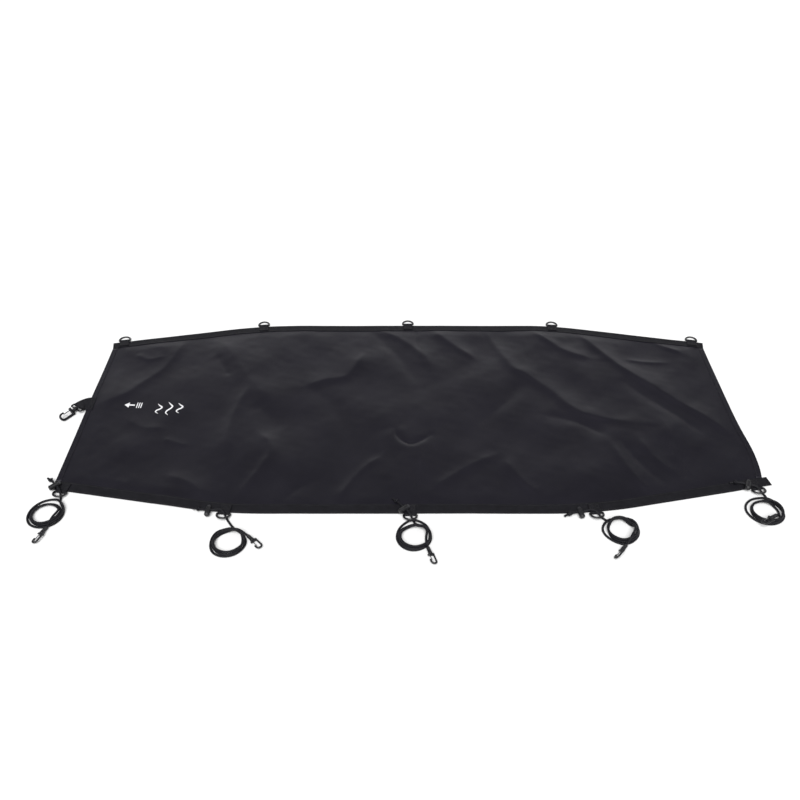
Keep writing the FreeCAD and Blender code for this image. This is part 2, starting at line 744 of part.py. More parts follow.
def snap_eye():
    """Rectangular wire eye with the boss that the swivel stem turns in."""
    wire = "Sizes.eye_wire_radius"
    half = "(Sizes.eye_inner_width / 2 + Sizes.eye_wire_radius)"
    depth = "Sizes.eye_depth"
    boss_start = f"{depth} - Sizes.eye_boss_length / 2"
    pieces = [cylinder("eye_boss", "Sizes.eye_boss_radius", "Sizes.eye_boss_length",
                       (boss_start, "0", "0"), TO_X)]
    for place, x in (("bar", "0"), ("front", depth)):
        pieces.append(cylinder(f"eye_{place}", wire, f"2 * {half}", (x, f"-{half}", "0"), TO_Y))
    for side, sign in (("left", ""), ("right", "-")):
        pieces.append(cylinder(f"eye_{side}", wire, depth, ("0", f"{sign}{half}", "0"), TO_X))
        for place, x in (("bar", "0"), ("front", depth)):
            pieces.append(ball(f"eye_{side}_{place}_corner", wire, (x, f"{sign}{half}", "0")))
    bore = cylinder("eye_bore", "Sizes.snap_stem_radius + Sizes.bar_clearance",
                    "Sizes.eye_boss_length", (boss_start, "0", "0"), TO_X)
    keep(cut("snap_eye_casting", fuse("snap_eye_solid", pieces), bore, snap_frame()), "snap_eye")


def snap_hook():
    """Swivel stem with its riveted head, collar, shoulder and J."""
    gap = "Sizes.running_gap"
    boss_back = "(Sizes.eye_depth - Sizes.eye_boss_length / 2)"
    boss_front = "(Sizes.eye_depth + Sizes.eye_boss_length / 2)"
    head_start = f"{boss_back} - {gap} - Sizes.snap_head_length"
    start = "Sizes.snap_shoulder_start"
    width = "Sizes.snap_shoulder_width"
    thickness = "Sizes.snap_shoulder_thickness"
    pieces = [
        cylinder("snap_head", "Sizes.snap_head_radius", "Sizes.snap_head_length",
                 (head_start, "0", "0"), TO_X),
        cylinder("snap_stem", "Sizes.snap_stem_radius", f"{start} - ({head_start})",
                 (head_start, "0", "0"), TO_X),
        cylinder("snap_collar", "Sizes.snap_collar_radius", "Sizes.snap_collar_length",
                 (f"{boss_front} + {gap}", "0", "0"), TO_X),
        box("snap_shoulder", "Sizes.snap_shoulder_length", width, thickness,
            (start, f"-{width} / 2", f"-{thickness} / 2")),
    ]
    pieces += hook_wire("snap", "Sizes.snap_wire_radius", "Sizes.snap_bend_radius",
                        "Sizes.snap_bend_x", "Sizes.snap_shoulder_start + 1", "Sizes.snap_tip_length")
    cuts = shoulder_cuts("snap", start, "Sizes.snap_shoulder_length", width, thickness,
                         "Sizes.snap_gate_hub_radius", "Sizes.snap_pin_radius",
                         "Sizes.snap_gate_pivot_x", SNAP_GATE_Y)
    keep(cut("snap_hook_casting", fuse("snap_hook_solid", pieces), cuts, snap_hook_frame()), "snap_hook")


def snap_gate():
    """Gate of the snap hook, bored for its pin, and the pin."""
    place = snap_hook_frame()
    pivot = ("Sizes.snap_gate_pivot_x", SNAP_GATE_Y)
    lever = gate_lever("snap_gate", "Sizes.snap_gate_radius", "Sizes.snap_gate_hub_radius",
                       *pivot, "Sizes.snap_gate_reach")
    thickness = "Sizes.snap_shoulder_thickness"
    bore = cylinder("snap_gate_bore", "Sizes.snap_pin_radius + Sizes.bar_clearance", thickness,
                    pivot + (f"-{thickness} / 2",))
    keep(cut("snap_gate_wire", fuse("snap_gate_solid", lever), bore, place), "snap_gate")
    half = f"{thickness} / 2"
    pieces = [cylinder("snap_gate_pin_rod", "Sizes.snap_pin_radius", thickness, pivot + (f"-{half}",))]
    for side, head_start in (("low", f"-{half} - Sizes.snap_pin_head_length"), ("high", half)):
        pieces.append(cylinder(f"snap_gate_pin_{side}_head", "Sizes.snap_pin_head_radius",
                               "Sizes.snap_pin_head_length", pivot + (head_start,)))
    keep(fuse("snap_gate_pin_rivet", pieces, place), "snap_gate_pin")


# ---------------------------------------------------------------- assembly

deck_panel()
edge_band("far_edge_band", 1, END, "Sizes.band_overhang")
edge_band("near_edge_band", -1, NEAR_BOW, "Sizes.band_long_overhang")
end_hem("bow_hem", f"-{LENGTH}", NEAR_BOW, END)
end_hem("stern_hem", f"{LENGTH} - Sizes.hem_width", END, END)

STATION_NUMBERS = range(1, 6)
keep(group("far_loop_group", [ring_loop(f"far_loop_{n}", far_frame(n)) for n in STATION_NUMBERS]),
     "far_ring_loops")
keep(group("near_loop_group", [ring_loop(f"near_loop_{n}", near_frame(n)) for n in STATION_NUMBERS]),
     "near_ring_loops")
keep(group("knot_group", [stopper_knot(n) for n in STATION_NUMBERS]), "stopper_knots")
for number in STATION_NUMBERS:
    d_ring(f"far_ring_{number}", bar_place(far_frame(number), far_ring_lift()))
    d_ring(f"near_ring_{number}", bar_place(near_frame(number), size("near_ring_lift")))
    cord_lead(number)
    cord_coil(number)
    lock_body(number)
    lock_button(number)
    lock_spring(number)
    bungee_hook(number)
bow_tab()
snap_eye()
snap_hook()
snap_gate()
doc.recompute()

for obj in doc.Objects:
    if "Invalid" in obj.State or "Error" in obj.State:
        raise RuntimeError(f"{obj.Name} failed: {obj.State}")
for node in nodes:
    if node.Shape.isNull() or not node.Shape.isValid():
        raise RuntimeError(f"{node.Label} has no valid shape")
    node.Shape.exportStep(f"parts/{node.Label}.step")
print(len(nodes), "sub-parts written")
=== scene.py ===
import json
from math import asin, atan, copysign, cos, degrees, exp, pi, radians, sin, sqrt, tan

import bpy
import numpy as np
from mathutils import Matrix, Vector
from mathutils.bvhtree import BVHTree


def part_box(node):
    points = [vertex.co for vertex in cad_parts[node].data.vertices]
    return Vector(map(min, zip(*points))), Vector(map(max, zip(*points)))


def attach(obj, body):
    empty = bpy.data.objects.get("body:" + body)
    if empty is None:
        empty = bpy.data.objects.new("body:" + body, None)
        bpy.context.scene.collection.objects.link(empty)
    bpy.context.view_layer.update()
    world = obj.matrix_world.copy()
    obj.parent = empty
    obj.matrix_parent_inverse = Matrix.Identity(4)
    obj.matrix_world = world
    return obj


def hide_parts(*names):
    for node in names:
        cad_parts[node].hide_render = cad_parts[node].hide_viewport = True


# Looks of a flat kayak cockpit cover: wrinkled coated fabric, sewn webbing, D-rings, bungee cords
# with locks and hooks, and a swivel snap hook. Metres; +X to the stern, +Y to the far edge, +Z up.

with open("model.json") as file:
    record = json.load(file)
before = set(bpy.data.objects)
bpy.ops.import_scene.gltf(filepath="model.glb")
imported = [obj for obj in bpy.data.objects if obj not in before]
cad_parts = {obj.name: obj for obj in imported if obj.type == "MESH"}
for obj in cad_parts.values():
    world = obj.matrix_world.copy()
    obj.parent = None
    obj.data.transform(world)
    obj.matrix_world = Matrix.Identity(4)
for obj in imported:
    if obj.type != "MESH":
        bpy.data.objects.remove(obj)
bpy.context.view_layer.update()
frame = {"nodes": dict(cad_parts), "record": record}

# ---------------- sizes

PANEL_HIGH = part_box("deck_panel")[1]
HALF_LENGTH = PANEL_HIGH[0]
HALF_MID = PANEL_HIGH[1]
FABRIC = PANEL_HIGH[2]
HALF_END = 0.266
HALF_NEAR_BOW = 0.276
# The long edges turn towards the ends here, on a bend of this radius.
KINK_X = 0.404
KINK_RADIUS = 1.0
STATION_X = (-0.777, -0.404, 0.0, 0.404, 0.777)
STATIONS = range(1, 6)

WEB_WIDTH = 0.025
WEB_THICK = 0.0012
HEM_WIDTH = 0.012

CORD = 0.005
CORD_RADIUS = CORD / 2

MM = 0.001
FLAT = Vector((0, 0, 1))


def mm(*place):
    """Point given in millimetres."""
    return Vector([MM * part for part in place])


def ease(share):
    """Smooth step from 0 to 1."""
    return share * share * (3 - 2 * share)


# ---------------- camera, light and floor

CAMERA_AT = (-0.022, -1.5265, 1.3545)
# How far the camera looks down, in degrees.
CAMERA_DIP = 41
LENS = 36.8
# The sky shows as pale paper, and lights the object less than it shows.
SKY_LIGHT, SKY_SHOWN = 0.25, 1.0
SUN_POWER, SUN_SPREAD, SUN_TURN = 3.4, 50, (32, -6, 0)
SOFTBOX_AT = Vector((-0.1, 3.2, 1.05))
SOFTBOX_SIZE, SOFTBOX_POWER = (5.5, 0.9), 23
FLOOR_HALF = 12.0


def put(name, data):
    piece = bpy.data.objects.new(name, data)
    bpy.context.collection.objects.link(piece)
    return piece


def make_camera():
    data = bpy.data.cameras.new("camera")
    data.lens = LENS
    data.clip_end = 50
    camera = put("camera", data)
    camera.location = CAMERA_AT
    camera.rotation_euler = (radians(90 - CAMERA_DIP), 0, 0)
    bpy.context.scene.camera = camera


def make_studio():
    world = bpy.data.worlds.new("studio")
    world.use_nodes = True
    background = world.node_tree.nodes["Background"]
    background.inputs["Color"].default_value = (1, 1, 1, 1)
    seen = world.node_tree.nodes.new("ShaderNodeLightPath")
    strength = world.node_tree.nodes.new("ShaderNodeMapRange")
    strength.inputs["To Min"].default_value = SKY_LIGHT
    strength.inputs["To Max"].default_value = SKY_SHOWN
    world.node_tree.links.new(seen.outputs["Is Camera Ray"], strength.inputs["Value"])
    world.node_tree.links.new(strength.outputs["Result"], background.inputs["Strength"])
    bpy.context.scene.world = world
    bpy.context.scene.view_settings.view_transform = "Standard"
    data = bpy.data.lights.new("overhead", "SUN")
    data.energy = SUN_POWER
    data.angle = radians(SUN_SPREAD)
    put("overhead", data).rotation_euler = [radians(turn) for turn in SUN_TURN]
    data = bpy.data.lights.new("back_softbox", "AREA")
    data.shape = "RECTANGLE"
    data.size, data.size_y = SOFTBOX_SIZE
    data.energy = SOFTBOX_POWER
    softbox = put("back_softbox", data)
    softbox.location = SOFTBOX_AT
    softbox.rotation_euler = (-SOFTBOX_AT).to_track_quat("-Z", "Y").to_euler()
    softbox.visible_camera = False
    data = bpy.data.meshes.new("floor")
    corners = [(-1, -1), (1, -1), (1, 1), (-1, 1)]
    data.from_pydata([(x * FLOOR_HALF, y * FLOOR_HALF, 0) for x, y in corners], [], [(0, 1, 2, 3)])
    floor = put("floor", data)
    material = bpy.data.materials.new("floor_paper")
    material.use_nodes = True
    shader = material.node_tree.nodes["Principled BSDF"]
    shader.inputs["Base Color"].default_value = (0.93, 0.93, 0.93, 1)
    shader.inputs["Roughness"].default_value = 0.95
    shader.inputs["Specular IOR Level"].default_value = 0.1
    data.materials.append(material)


# ---------------- materials


class Shader:
    """A Principled material with a few words for the nodes that feed it."""

    def __init__(self, name, color, roughness, **constants):
        self.material = bpy.data.materials.new(name)
        self.material.use_nodes = True
        self.tree = self.material.node_tree
        self.bsdf = self.tree.nodes["Principled BSDF"]
        self.bsdf.inputs["Base Color"].default_value = (*color, 1)
        self.bsdf.inputs["Roughness"].default_value = roughness
        for socket, value in constants.items():
            self.bsdf.inputs[socket.replace("_", " ")].default_value = value

    def node(self, kind, **values):
        made = self.tree.nodes.new(kind)
        for key, value in values.items():
            if key in made.inputs:
                made.inputs[key].default_value = value
            else:
                setattr(made, key, value)
        return made

    def link(self, start, end):
        self.tree.links.new(start, end)

    def coordinates(self, space="Object", scale=(1, 1, 1)):
        source = self.node("ShaderNodeTexCoord")
        mapping = self.node("ShaderNodeMapping", Scale=scale)
        self.link(source.outputs[space], mapping.inputs["Vector"])
        return mapping.outputs["Vector"]

    def noise(self, vector, scale, detail=3.0):
        made = self.node("ShaderNodeTexNoise", Scale=scale, Detail=detail, Roughness=0.55)
        self.link(vector, made.inputs["Vector"])
        return made.outputs["Fac"]

    def wave(self, vector, scale, direction):
        made = self.node("ShaderNodeTexWave", Scale=scale, bands_direction=direction)
        self.link(vector, made.inputs["Vector"])
        return made.outputs["Fac"]

    def maths(self, operation, first, second):
        made = self.node("ShaderNodeMath", operation=operation)
        for place, value in enumerate((first, second)):
            if isinstance(value, (int, float)):
                made.inputs[place].default_value = value
            else:
                self.link(value, made.inputs[place])
        return made.outputs["Value"]

    def ramp(self, factor, stops):
        made = self.node("ShaderNodeValToRGB")
        elements = made.color_ramp.elements
        for place, (position, color) in enumerate(stops):
            element = elements[place] if place < 2 else elements.new(position)
            element.position = position
            element.color = (*color, 1)
        self.link(factor, made.inputs["Fac"])
        return made.outputs["Color"]

    def remap(self, factor, low, high):
        made = self.node("ShaderNodeMapRange")
        made.inputs["To Min"].default_value = low
        made.inputs["To Max"].default_value = high
        self.link(factor, made.inputs["Value"])
        return made.outputs["Result"]

    def bump(self, height, distance, strength=1.0, below=None):
        made = self.node("ShaderNodeBump", Distance=distance, Strength=strength)
        self.link(height, made.inputs["Height"])
        if below is not None:
            self.link(below, made.inputs["Normal"])
        return made.outputs["Normal"]

    def finish(self, color, roughness, normal):
        for socket, value in (("Base Color", color), ("Roughness", roughness), ("Normal", normal)):
            self.link(value, self.bsdf.inputs[socket])
        return self.material


def coated_fabric():
    made = Shader("coated_fabric", (0.0080, 0.0074, 0.0118), 0.42, Specular_IOR_Level=0.28,
                  Specular_Tint=(0.92, 0.9, 1.0, 1))
    place = made.coordinates()
    warp = made.wave(place, 320.0, "X")
    weft = made.wave(place, 320.0, "Y")
    weave = made.maths("MULTIPLY", warp, weft)
    mottle = made.noise(place, 9.0, 4.0)
    dust = made.noise(place, 600.0, 2.0)
    tint = made.ramp(mottle, [(0.3, (0.0056, 0.0051, 0.0086)), (0.7, (0.0086, 0.0079, 0.0125))])
    rough = made.remap(made.maths("ADD", made.maths("MULTIPLY", mottle, 0.6),
                                  made.maths("MULTIPLY", dust, 0.4)), 0.34, 0.50)
    fine = made.bump(weave, 0.00012, 0.35)
    return made.finish(tint, rough, made.bump(made.noise(place, 60.0, 3.0), 0.0004, 0.3, fine))


def webbing():
    made = Shader("webbing", (0.006, 0.0058, 0.0085), 0.7, Specular_IOR_Level=0.22)
    place = made.coordinates("UV")
    rib = made.wave(place, 200.0, "X")
    yarn = made.wave(place, 260.0, "DIAGONAL")
    weave = made.maths("ADD", rib, made.maths("MULTIPLY", yarn, 0.6))
    tone = made.ramp(made.noise(made.coordinates(), 60.0), [(0.3, (0.0040, 0.0038, 0.0060)),
                                                            (0.75, (0.0085, 0.0082, 0.0115))])
    return made.finish(tone, made.remap(weave, 0.5, 0.72), made.bump(weave, 0.0003, 0.6))


def elastic_cord():
    made = Shader("elastic_cord", (0.006, 0.006, 0.009), 0.6, Specular_IOR_Level=0.24)
    left = made.wave(made.coordinates("UV", (150.0, 4.0, 1)), 1.0, "DIAGONAL")
    right = made.wave(made.coordinates("UV", (150.0, -4.0, 1)), 1.0, "DIAGONAL")
    braid = made.maths("MAXIMUM", left, right)
    # Painted shade: the braid's grooves are coloured darker and its raised strands lighter, following the
    # same heights as the bump.
    tone = made.ramp(braid, [(0.2, (0.0022, 0.0022, 0.0036)), (0.9, (0.0085, 0.0084, 0.012))])
    return made.finish(tone, made.remap(braid, 0.7, 0.45), made.bump(braid, 0.0005, 0.8))


def scaled(color, share):
    return tuple(share * part for part in color)


def plastic(name, color, roughness):
    made = Shader(name, color, roughness, Specular_IOR_Level=0.5)
    place = made.coordinates()
    worn = made.noise(place, 120.0, 4.0)
    tone = made.ramp(worn, [(0.35, scaled(color, 0.75)), (0.75, scaled(color, 1.5))])
    return made.finish(tone, made.remap(worn, roughness - 0.08, roughness + 0.12),
                       made.bump(made.noise(place, 900.0, 2.0), 0.00008, 0.5))


def metal(name, color, roughness):
    made = Shader(name, color, roughness, Metallic=1.0)
    place = made.coordinates()
    scratches = made.noise(made.coordinates(scale=(1, 1, 6)), 500.0, 3.0)
    tone = made.ramp(made.noise(place, 150.0), [(0.3, scaled(color, 0.6)), (0.75, color)])
    return made.finish(tone, made.remap(scratches, roughness - 0.08, roughness + 0.15),
                       made.bump(scratches, 0.00004, 0.4))


def print_ink():
    made = Shader("print_ink", (0.8, 0.8, 0.82), 0.55)
    place = made.coordinates()
    wear = made.noise(place, 800.0, 3.0)
    tone = made.ramp(wear, [(0.26, (0.45, 0.45, 0.47)), (0.42, (0.86, 0.86, 0.88))])
    return made.finish(tone, made.remap(wear, 0.45, 0.7), made.bump(wear, 0.00005, 0.4))


# ---------------- meshes


def new_piece(name, vertices, faces, material, body="cover", replaces=(), slot=None, uv=None):
    """Smooth mesh object that rides on a body. uv is one (u, v) in metres per vertex."""
    data = bpy.data.meshes.new(name)
    data.from_pydata([tuple(point) for point in vertices], [], faces)
    data.polygons.foreach_set("use_smooth", [True] * len(data.polygons))
    data.materials.append(material)
    if uv is not None:
        layer = data.uv_layers.new(name="weave")
        corners = np.zeros(len(data.loops), dtype=int)
        data.loops.foreach_get("vertex_index", corners)
        layer.data.foreach_set("uv", np.asarray(uv)[corners].ravel())
    data.update()
    piece = put(name, data)
    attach(piece, body)
    for node in replaces:
        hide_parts(node)
    return piece


class Build:
    """Vertices, faces and uv gathered from several lofts into one mesh."""

    def __init__(self):
        self.vertices = []
        self.faces = []
        self.uv = []

    def loft(self, rows, ring=False):
        """Skin between sections of equal size, each a loop of points, with flat ends.

        A ring joins its last section to its first instead.
        """
        start = len(self.vertices)
        count = len(rows[0])
        run = 0.0
        for place, row in enumerate(rows):
            if place:
                run += (Vector(row[0]) - Vector(rows[place - 1][0])).length
            across = 0.0
            for index, point in enumerate(row):
                if index:
                    across += (Vector(point) - Vector(row[index - 1])).length
                self.vertices.append(point)
                self.uv.append((run, across))
        for place in range(len(rows) if ring else len(rows) - 1):
            low = start + place * count
            high = start + (place + 1) % len(rows) * count
            for index in range(count):
                following = (index + 1) % count
                self.faces.append((low + index, low + following, high + following, high + index))
        if not ring:
            self.faces.append(tuple(start + index for index in reversed(range(count))))
            end = start + (len(rows) - 1) * count
            self.faces.append(tuple(end + index for index in range(count)))

    def piece(self, name, material, **more):
        return new_piece(name, self.vertices, self.faces, material, uv=self.uv, **more)


def frames_along(points):
    """Tangent, side and up at each point of a line, turned as little as possible."""
    points = [Vector(point) for point in points]
    tangents = []
    for place in range(len(points)):
        ahead = points[min(place + 1, len(points) - 1)]
        behind = points[max(place - 1, 0)]
        tangents.append((ahead - behind).normalized())
    side = tangents[0].cross(FLAT)
    if side.length < 0.1:
        side = tangents[0].cross(Vector((1, 0, 0)))
    side.normalize()
    found = []
    for tangent in tangents:
        side = (side - tangent * side.dot(tangent)).normalized()
        found.append((tangent, side, side.cross(tangent)))
    return found


def tube_rows(points, radii, sides):
    """Round sections along a line."""
    rows = []
    for point, radius, (_, side, up) in zip(points, radii, frames_along(points)):
        row = []
        for index in range(sides):
            angle = 2 * pi * index / sides
            out = side * (radius * cos(angle)) + up * (radius * sin(angle))
            row.append(Vector(point) + out)
        rows.append(row)
    return rows


def smooth_line(points, steps=8):
    """Catmull-Rom line through points, as an array."""
    points = np.asarray(points, dtype=float)
    padded = np.vstack([2 * points[0] - points[1], points, 2 * points[-1] - points[-2]])
    line = []
    for index in range(len(points) - 1):
        a, b, c, d = padded[index:index + 4]
        for step in range(steps):
            t = step / steps
            line.append(0.5 * (2 * b + (c - a) * t + (2 * a - 5 * b + 4 * c - d) * t * t
                               + (3 * b - a - 3 * c + d) * t ** 3))
    line.append(points[-1])
    return np.array(line)


def smooth_values(values, steps):
    """The same smoothing for single numbers."""
    return smooth_line([(value, 0.0) for value in values], steps)[:, 0]


# ---------------- edges of the panel


def edge_at(side, x):
    """Half width of the panel, and the lean of its long edge; side is -1 near and 1 far."""
    end_half = HALF_NEAR_BOW if side < 0 and x < 0 else HALF_END
    lean = atan((HALF_MID - end_half) / (HALF_LENGTH - KINK_X))
    start = KINK_X - KINK_RADIUS * tan(lean / 2)
    along = abs(x)
    if along <= start:
        return HALF_MID, 0.0
    if along - start < KINK_RADIUS * sin(lean):
        turned = asin((along - start) / KINK_RADIUS)
        return HALF_MID - KINK_RADIUS * (1 - cos(turned)), turned
    return end_half + (HALF_LENGTH - along) * tan(lean), lean


def turn_about(axis, angle):
    return Matrix.Rotation(angle, 4, axis)


def station_frame(number, side):
    """Frame on a long edge at a station: y points inwards, x to the stern if near, else to the bow."""
    x = STATION_X[number - 1]
    half, lean = edge_at(side, x)
    turn = copysign(lean, x)
    return Matrix.Translation((x, side * half, 0)) @ turn_about("Z", turn if side < 0 else pi - turn)


# ---------------- cords

# Per station, in millimetres: the lead's route in the near edge's frame, from its knotted end
# towards the coil; the coil's centre; the angles, in degrees, where the lead joins it and the tail
# leaves; its turns one after another, as radius along x and y and shift along x and y; bumps where
# a turn strays outwards or inwards, as turns from the start, spread in turns, and height; the
# tail's point and the hook's ferrule, with its heading in degrees. The coil, tail and hook have x
# and y of the whole cover.
CORDS = {
    1: {
        "route": [(-37, 21.4, 7.4), (-28, 15.1, 9.7), (-1.5, -4.3, 12), (7, -19, 2.8), (12, -33.5, 2.6)],
        "centre": (-791, -349.5), "join": 28, "leave": 8,
        "turns": [(37, 37, 1, -1), (38, 37, -1, 3), (31, 30, 1, 0), (29, 28, 0, -2)],
        "bumps": [(0.45, 0.1, 2.5), (0.83, 0.09, 3.0), (1.45, 0.1, -2.0), (1.8, 0.08, -1.5)],
        "tail": (-770.5, -366.5), "hook": (-776.5, -388), "heading": 251.0,
    },
    2: {
        "route": [(-57, -0.6, 7.6), (-47, -2.4, 8.1), (-41, -2.2, 8.2), (-24, -1.6, 8.4),
            (-12, 0.6, 10.4), (-1, -4.4, 10.9), (9, -18.5, 2.7), (20.5, -33, 2.6), (32, -44.8, 2.6)],
        "centre": (-383, -428.5), "join": 48, "leave": 95,
        "turns": [(36, 36, 0, 0), (35, 36, -2, 1), (33, 32, 1, -1), (29, 29, 0, 0)],
        "bumps": [(0.13, 0.07, 2.0), (0.51, 0.08, 2.0), (0.76, 0.07, 4.0), (1.13, 0.07, -2.5),
            (1.3, 0.07, 2.0), (1.52, 0.08, -3.0), (1.74, 0.07, -2.0), (2.1, 0.08, 2.0),
            (2.45, 0.07, -2.5), (2.78, 0.07, 3.0)],
        "tail": (-364, -401), "hook": (-343.5, -410.5), "heading": 315.0,
    },
    3: {
        "route": [(-30, 31, 7.4), (-22.5, 21, 9.8), (-10, 5.4, 11.2), (-2.5, -4, 12), (6, -19, 2.8),
            (9.5, -30, 2.6)],
        "centre": (8.5, -413.5), "join": 60, "leave": 20,
        "turns": [(36, 36, 0, 0), (35, 40, -2, 5), (34, 33, 0, -1), (29, 28, 0, 0)],
        "bumps": [(0.35, 0.08, -1.5), (0.62, 0.08, 1.5), (1.3, 0.08, 1.5), (1.6, 0.08, -2.5),
            (2.2, 0.08, 1.5)],
        "tail": (32, -418), "hook": (36, -442), "heading": 288.0,
    },
    4: {
        "route": [(-59, -5, 7.5), (-48, -2.6, 8.1), (-24, -1.6, 8.4), (-12, 0.6, 10.4), (-1, -4.5, 10.6),
            (8, -18.5, 2.8), (14, -25.5, 2.6)],
        "centre": (449, -394.5), "join": 130, "leave": -10,
        "turns": [(37, 35, 0, 0), (37, 34, -1, 0), (31, 29, 2, -2), (29, 27, 0, 0)],
        "bumps": [(0.08, 0.06, -2.0), (0.24, 0.07, 2.0), (0.36, 0.07, 1.0), (0.61, 0.07, 3.5),
            (0.86, 0.07, 2.0), (1.08, 0.07, -4.5), (1.26, 0.06, 4.5), (1.62, 0.07, 1.0),
            (1.86, 0.07, -2.5), (2.08, 0.07, 2.5), (2.24, 0.07, -3.5), (2.4, 0.07, 2.0),
            (2.61, 0.08, 3.0)],
        "tail": (464, -420), "hook": (450, -437.5), "heading": 229.5,
    },
    5: {
        "route": [(-41, 19.5, 7.4), (-31, 15.2, 9.7), (-2, -3.6, 12), (4.5, -19, 2.8), (6.5, -29, 2.6),
            (4, -38, 2.6)],
        "centre": (774, -343.5), "join": 70, "leave": -15,
        "turns": [(37, 35, 1, 0), (37, 38, -3, 3), (34, 32, 3, -1), (29, 27, -1, 1)],
        "bumps": [(0.25, 0.08, 1.5), (0.72, 0.09, 3.0), (1.2, 0.07, 2.0), (1.7, 0.08, -2.5),
            (2.2, 0.08, -1.5)],
        "tail": (800, -356), "hook": (788, -361), "heading": 211.0,
    },
}
POINTS_PER_TURN = 16
# How far the cord goes in at the back of its hook, and where it points straight before that.
FERRULE_REACH = 0.008
FERRULE_BEFORE = 0.004
# Height of each hook's middle line in millimetres, and how far it is rolled over in degrees.
HOOK_HEIGHT = {1: 4.8, 2: 4.7, 3: 5.0, 4: 7.0, 5: 13.7}
HOOK_ROLL = {1: 18.0, 2: 0.0, 3: -20.0, 4: 50.0, 5: 0.0}
# For a cord that lies on itself: steps between its points, the length nearest to a point that
# cannot be under it, the clearance to the floor, and steps over which its heights are evened out.
FINE = 6
OWN_REACH = 4 * CORD
FLOOR_GAP = 0.0001
WINDOW = 3


def coil_line(cord):
    """Flat route of the coil's turns, from where the lead joins to where the tail leaves."""
    centre = mm(*cord["centre"], 0)
    turns = cord["turns"]
    first = radians(cord["join"])
    swept = 2 * pi * (len(turns) - 1) + radians(cord["join"] - cord["leave"])
    count = int(swept / (2 * pi) * POINTS_PER_TURN)
    points = []
    for step in range(count + 1):
        turned = swept * step / count
        place = min(turned / (2 * pi), len(turns) - 1.001)
        low = int(place)
        share = ease(place - low)
        here, following = turns[low], turns[low + 1]
        across, deep, shift_x, shift_y = (a + (b - a) * share for a, b in zip(here, following))
        angle = first - turned
        stray = sum(height * exp(-((turned / (2 * pi) - at) / spread) ** 2)
                    for at, spread, height in cord["bumps"])
        points.append(centre + MM * Vector((shift_x + (across + stray) * cos(angle),
                                            shift_y + (deep + stray) * sin(angle), 0)))
    return points


def stacked(points, fixed):
    """Heights at which a line of cord lies on itself: the fixed first points keep theirs."""
    line = smooth_line(points, FINE)
    heights = np.full(len(line), CORD_RADIUS + FLOOR_GAP)
    spacing = np.linalg.norm(np.diff(line[:, :2], axis=0), axis=1)
    run = np.concatenate([[0], np.cumsum(spacing)])
    keep = fixed * FINE
    heights[:keep] = np.maximum(line[:keep, 2], heights[:keep])
    for place in range(keep, len(line)):
        below = run[:place] < run[place] - OWN_REACH
        gap = np.linalg.norm(line[:place][below, :2] - line[place, :2], axis=1)
        close = gap < CORD
        if close.any():
            rest = heights[:place][below][close] + np.sqrt(CORD ** 2 - gap[close] ** 2)
            heights[place] = max(heights[place], rest.max())
    raised = heights.copy()
    for place in range(keep, len(line)):
        raised[place] = heights[max(keep, place - WINDOW):place + WINDOW + 1].max()
    kernel = np.hanning(2 * WINDOW + 3)
    kernel /= kernel.sum()
    padded = np.pad(raised, WINDOW + 1, mode="edge")
    smooth = np.convolve(padded, kernel, "valid")
    smooth[:keep] = line[:keep, 2]
    return [float(height) for height in smooth[::FINE]]


def make_cord(number, material, pieces):
    """One bungee cord from its knot through lock and ring, wound up, to its hook."""
    cord = CORDS[number]
    place = station_frame(number, -1)
    lead = [place @ mm(*point) for point in cord["route"]]
    coil = coil_line(cord)
    heading = radians(cord["heading"])
    ahead = Vector((cos(heading), sin(heading), 0))
    hook = mm(*cord["hook"], HOOK_HEIGHT[number])
    flat = lead + coil + [mm(*cord["tail"], 0)]
    heights = stacked([tuple(point) for point in flat], len(lead))
    points = [Vector((point.x, point.y, height)) for point, height in zip(flat, heights)]
    points[:len(lead)] = lead
    points += [hook - ahead * FERRULE_BEFORE, hook + ahead * FERRULE_REACH]
    data = bpy.data.curves.new(f"cord_{number}", "CURVE")
    data.dimensions = "3D"
    spline = data.splines.new("NURBS")
    spline.points.add(len(points) - 1)
    for target, point in zip(spline.points, points):
        target.co = (*point, 1)
    spline.order_u = 3
    spline.use_endpoint_u = True
    spline.resolution_u = 8
    data.bevel_depth = CORD_RADIUS
    data.bevel_resolution = 5
    data.use_fill_caps = True
    data.materials.append(material)
    piece = put(f"cord_{number}", data)
    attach(piece, "cover")
    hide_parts(f"cord_lead_{number}")
    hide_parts(f"cord_coil_{number}")


# ---------------- fabric panel

GRID = 0.004
# How far in from its edges the panel starts to lift off the floor, and how high it lies there;
# hollows below the floor are rounded off over the height SOFT.
EDGE_REACH = 0.055
PUFF = 0.0035
SOFT = 0.0012

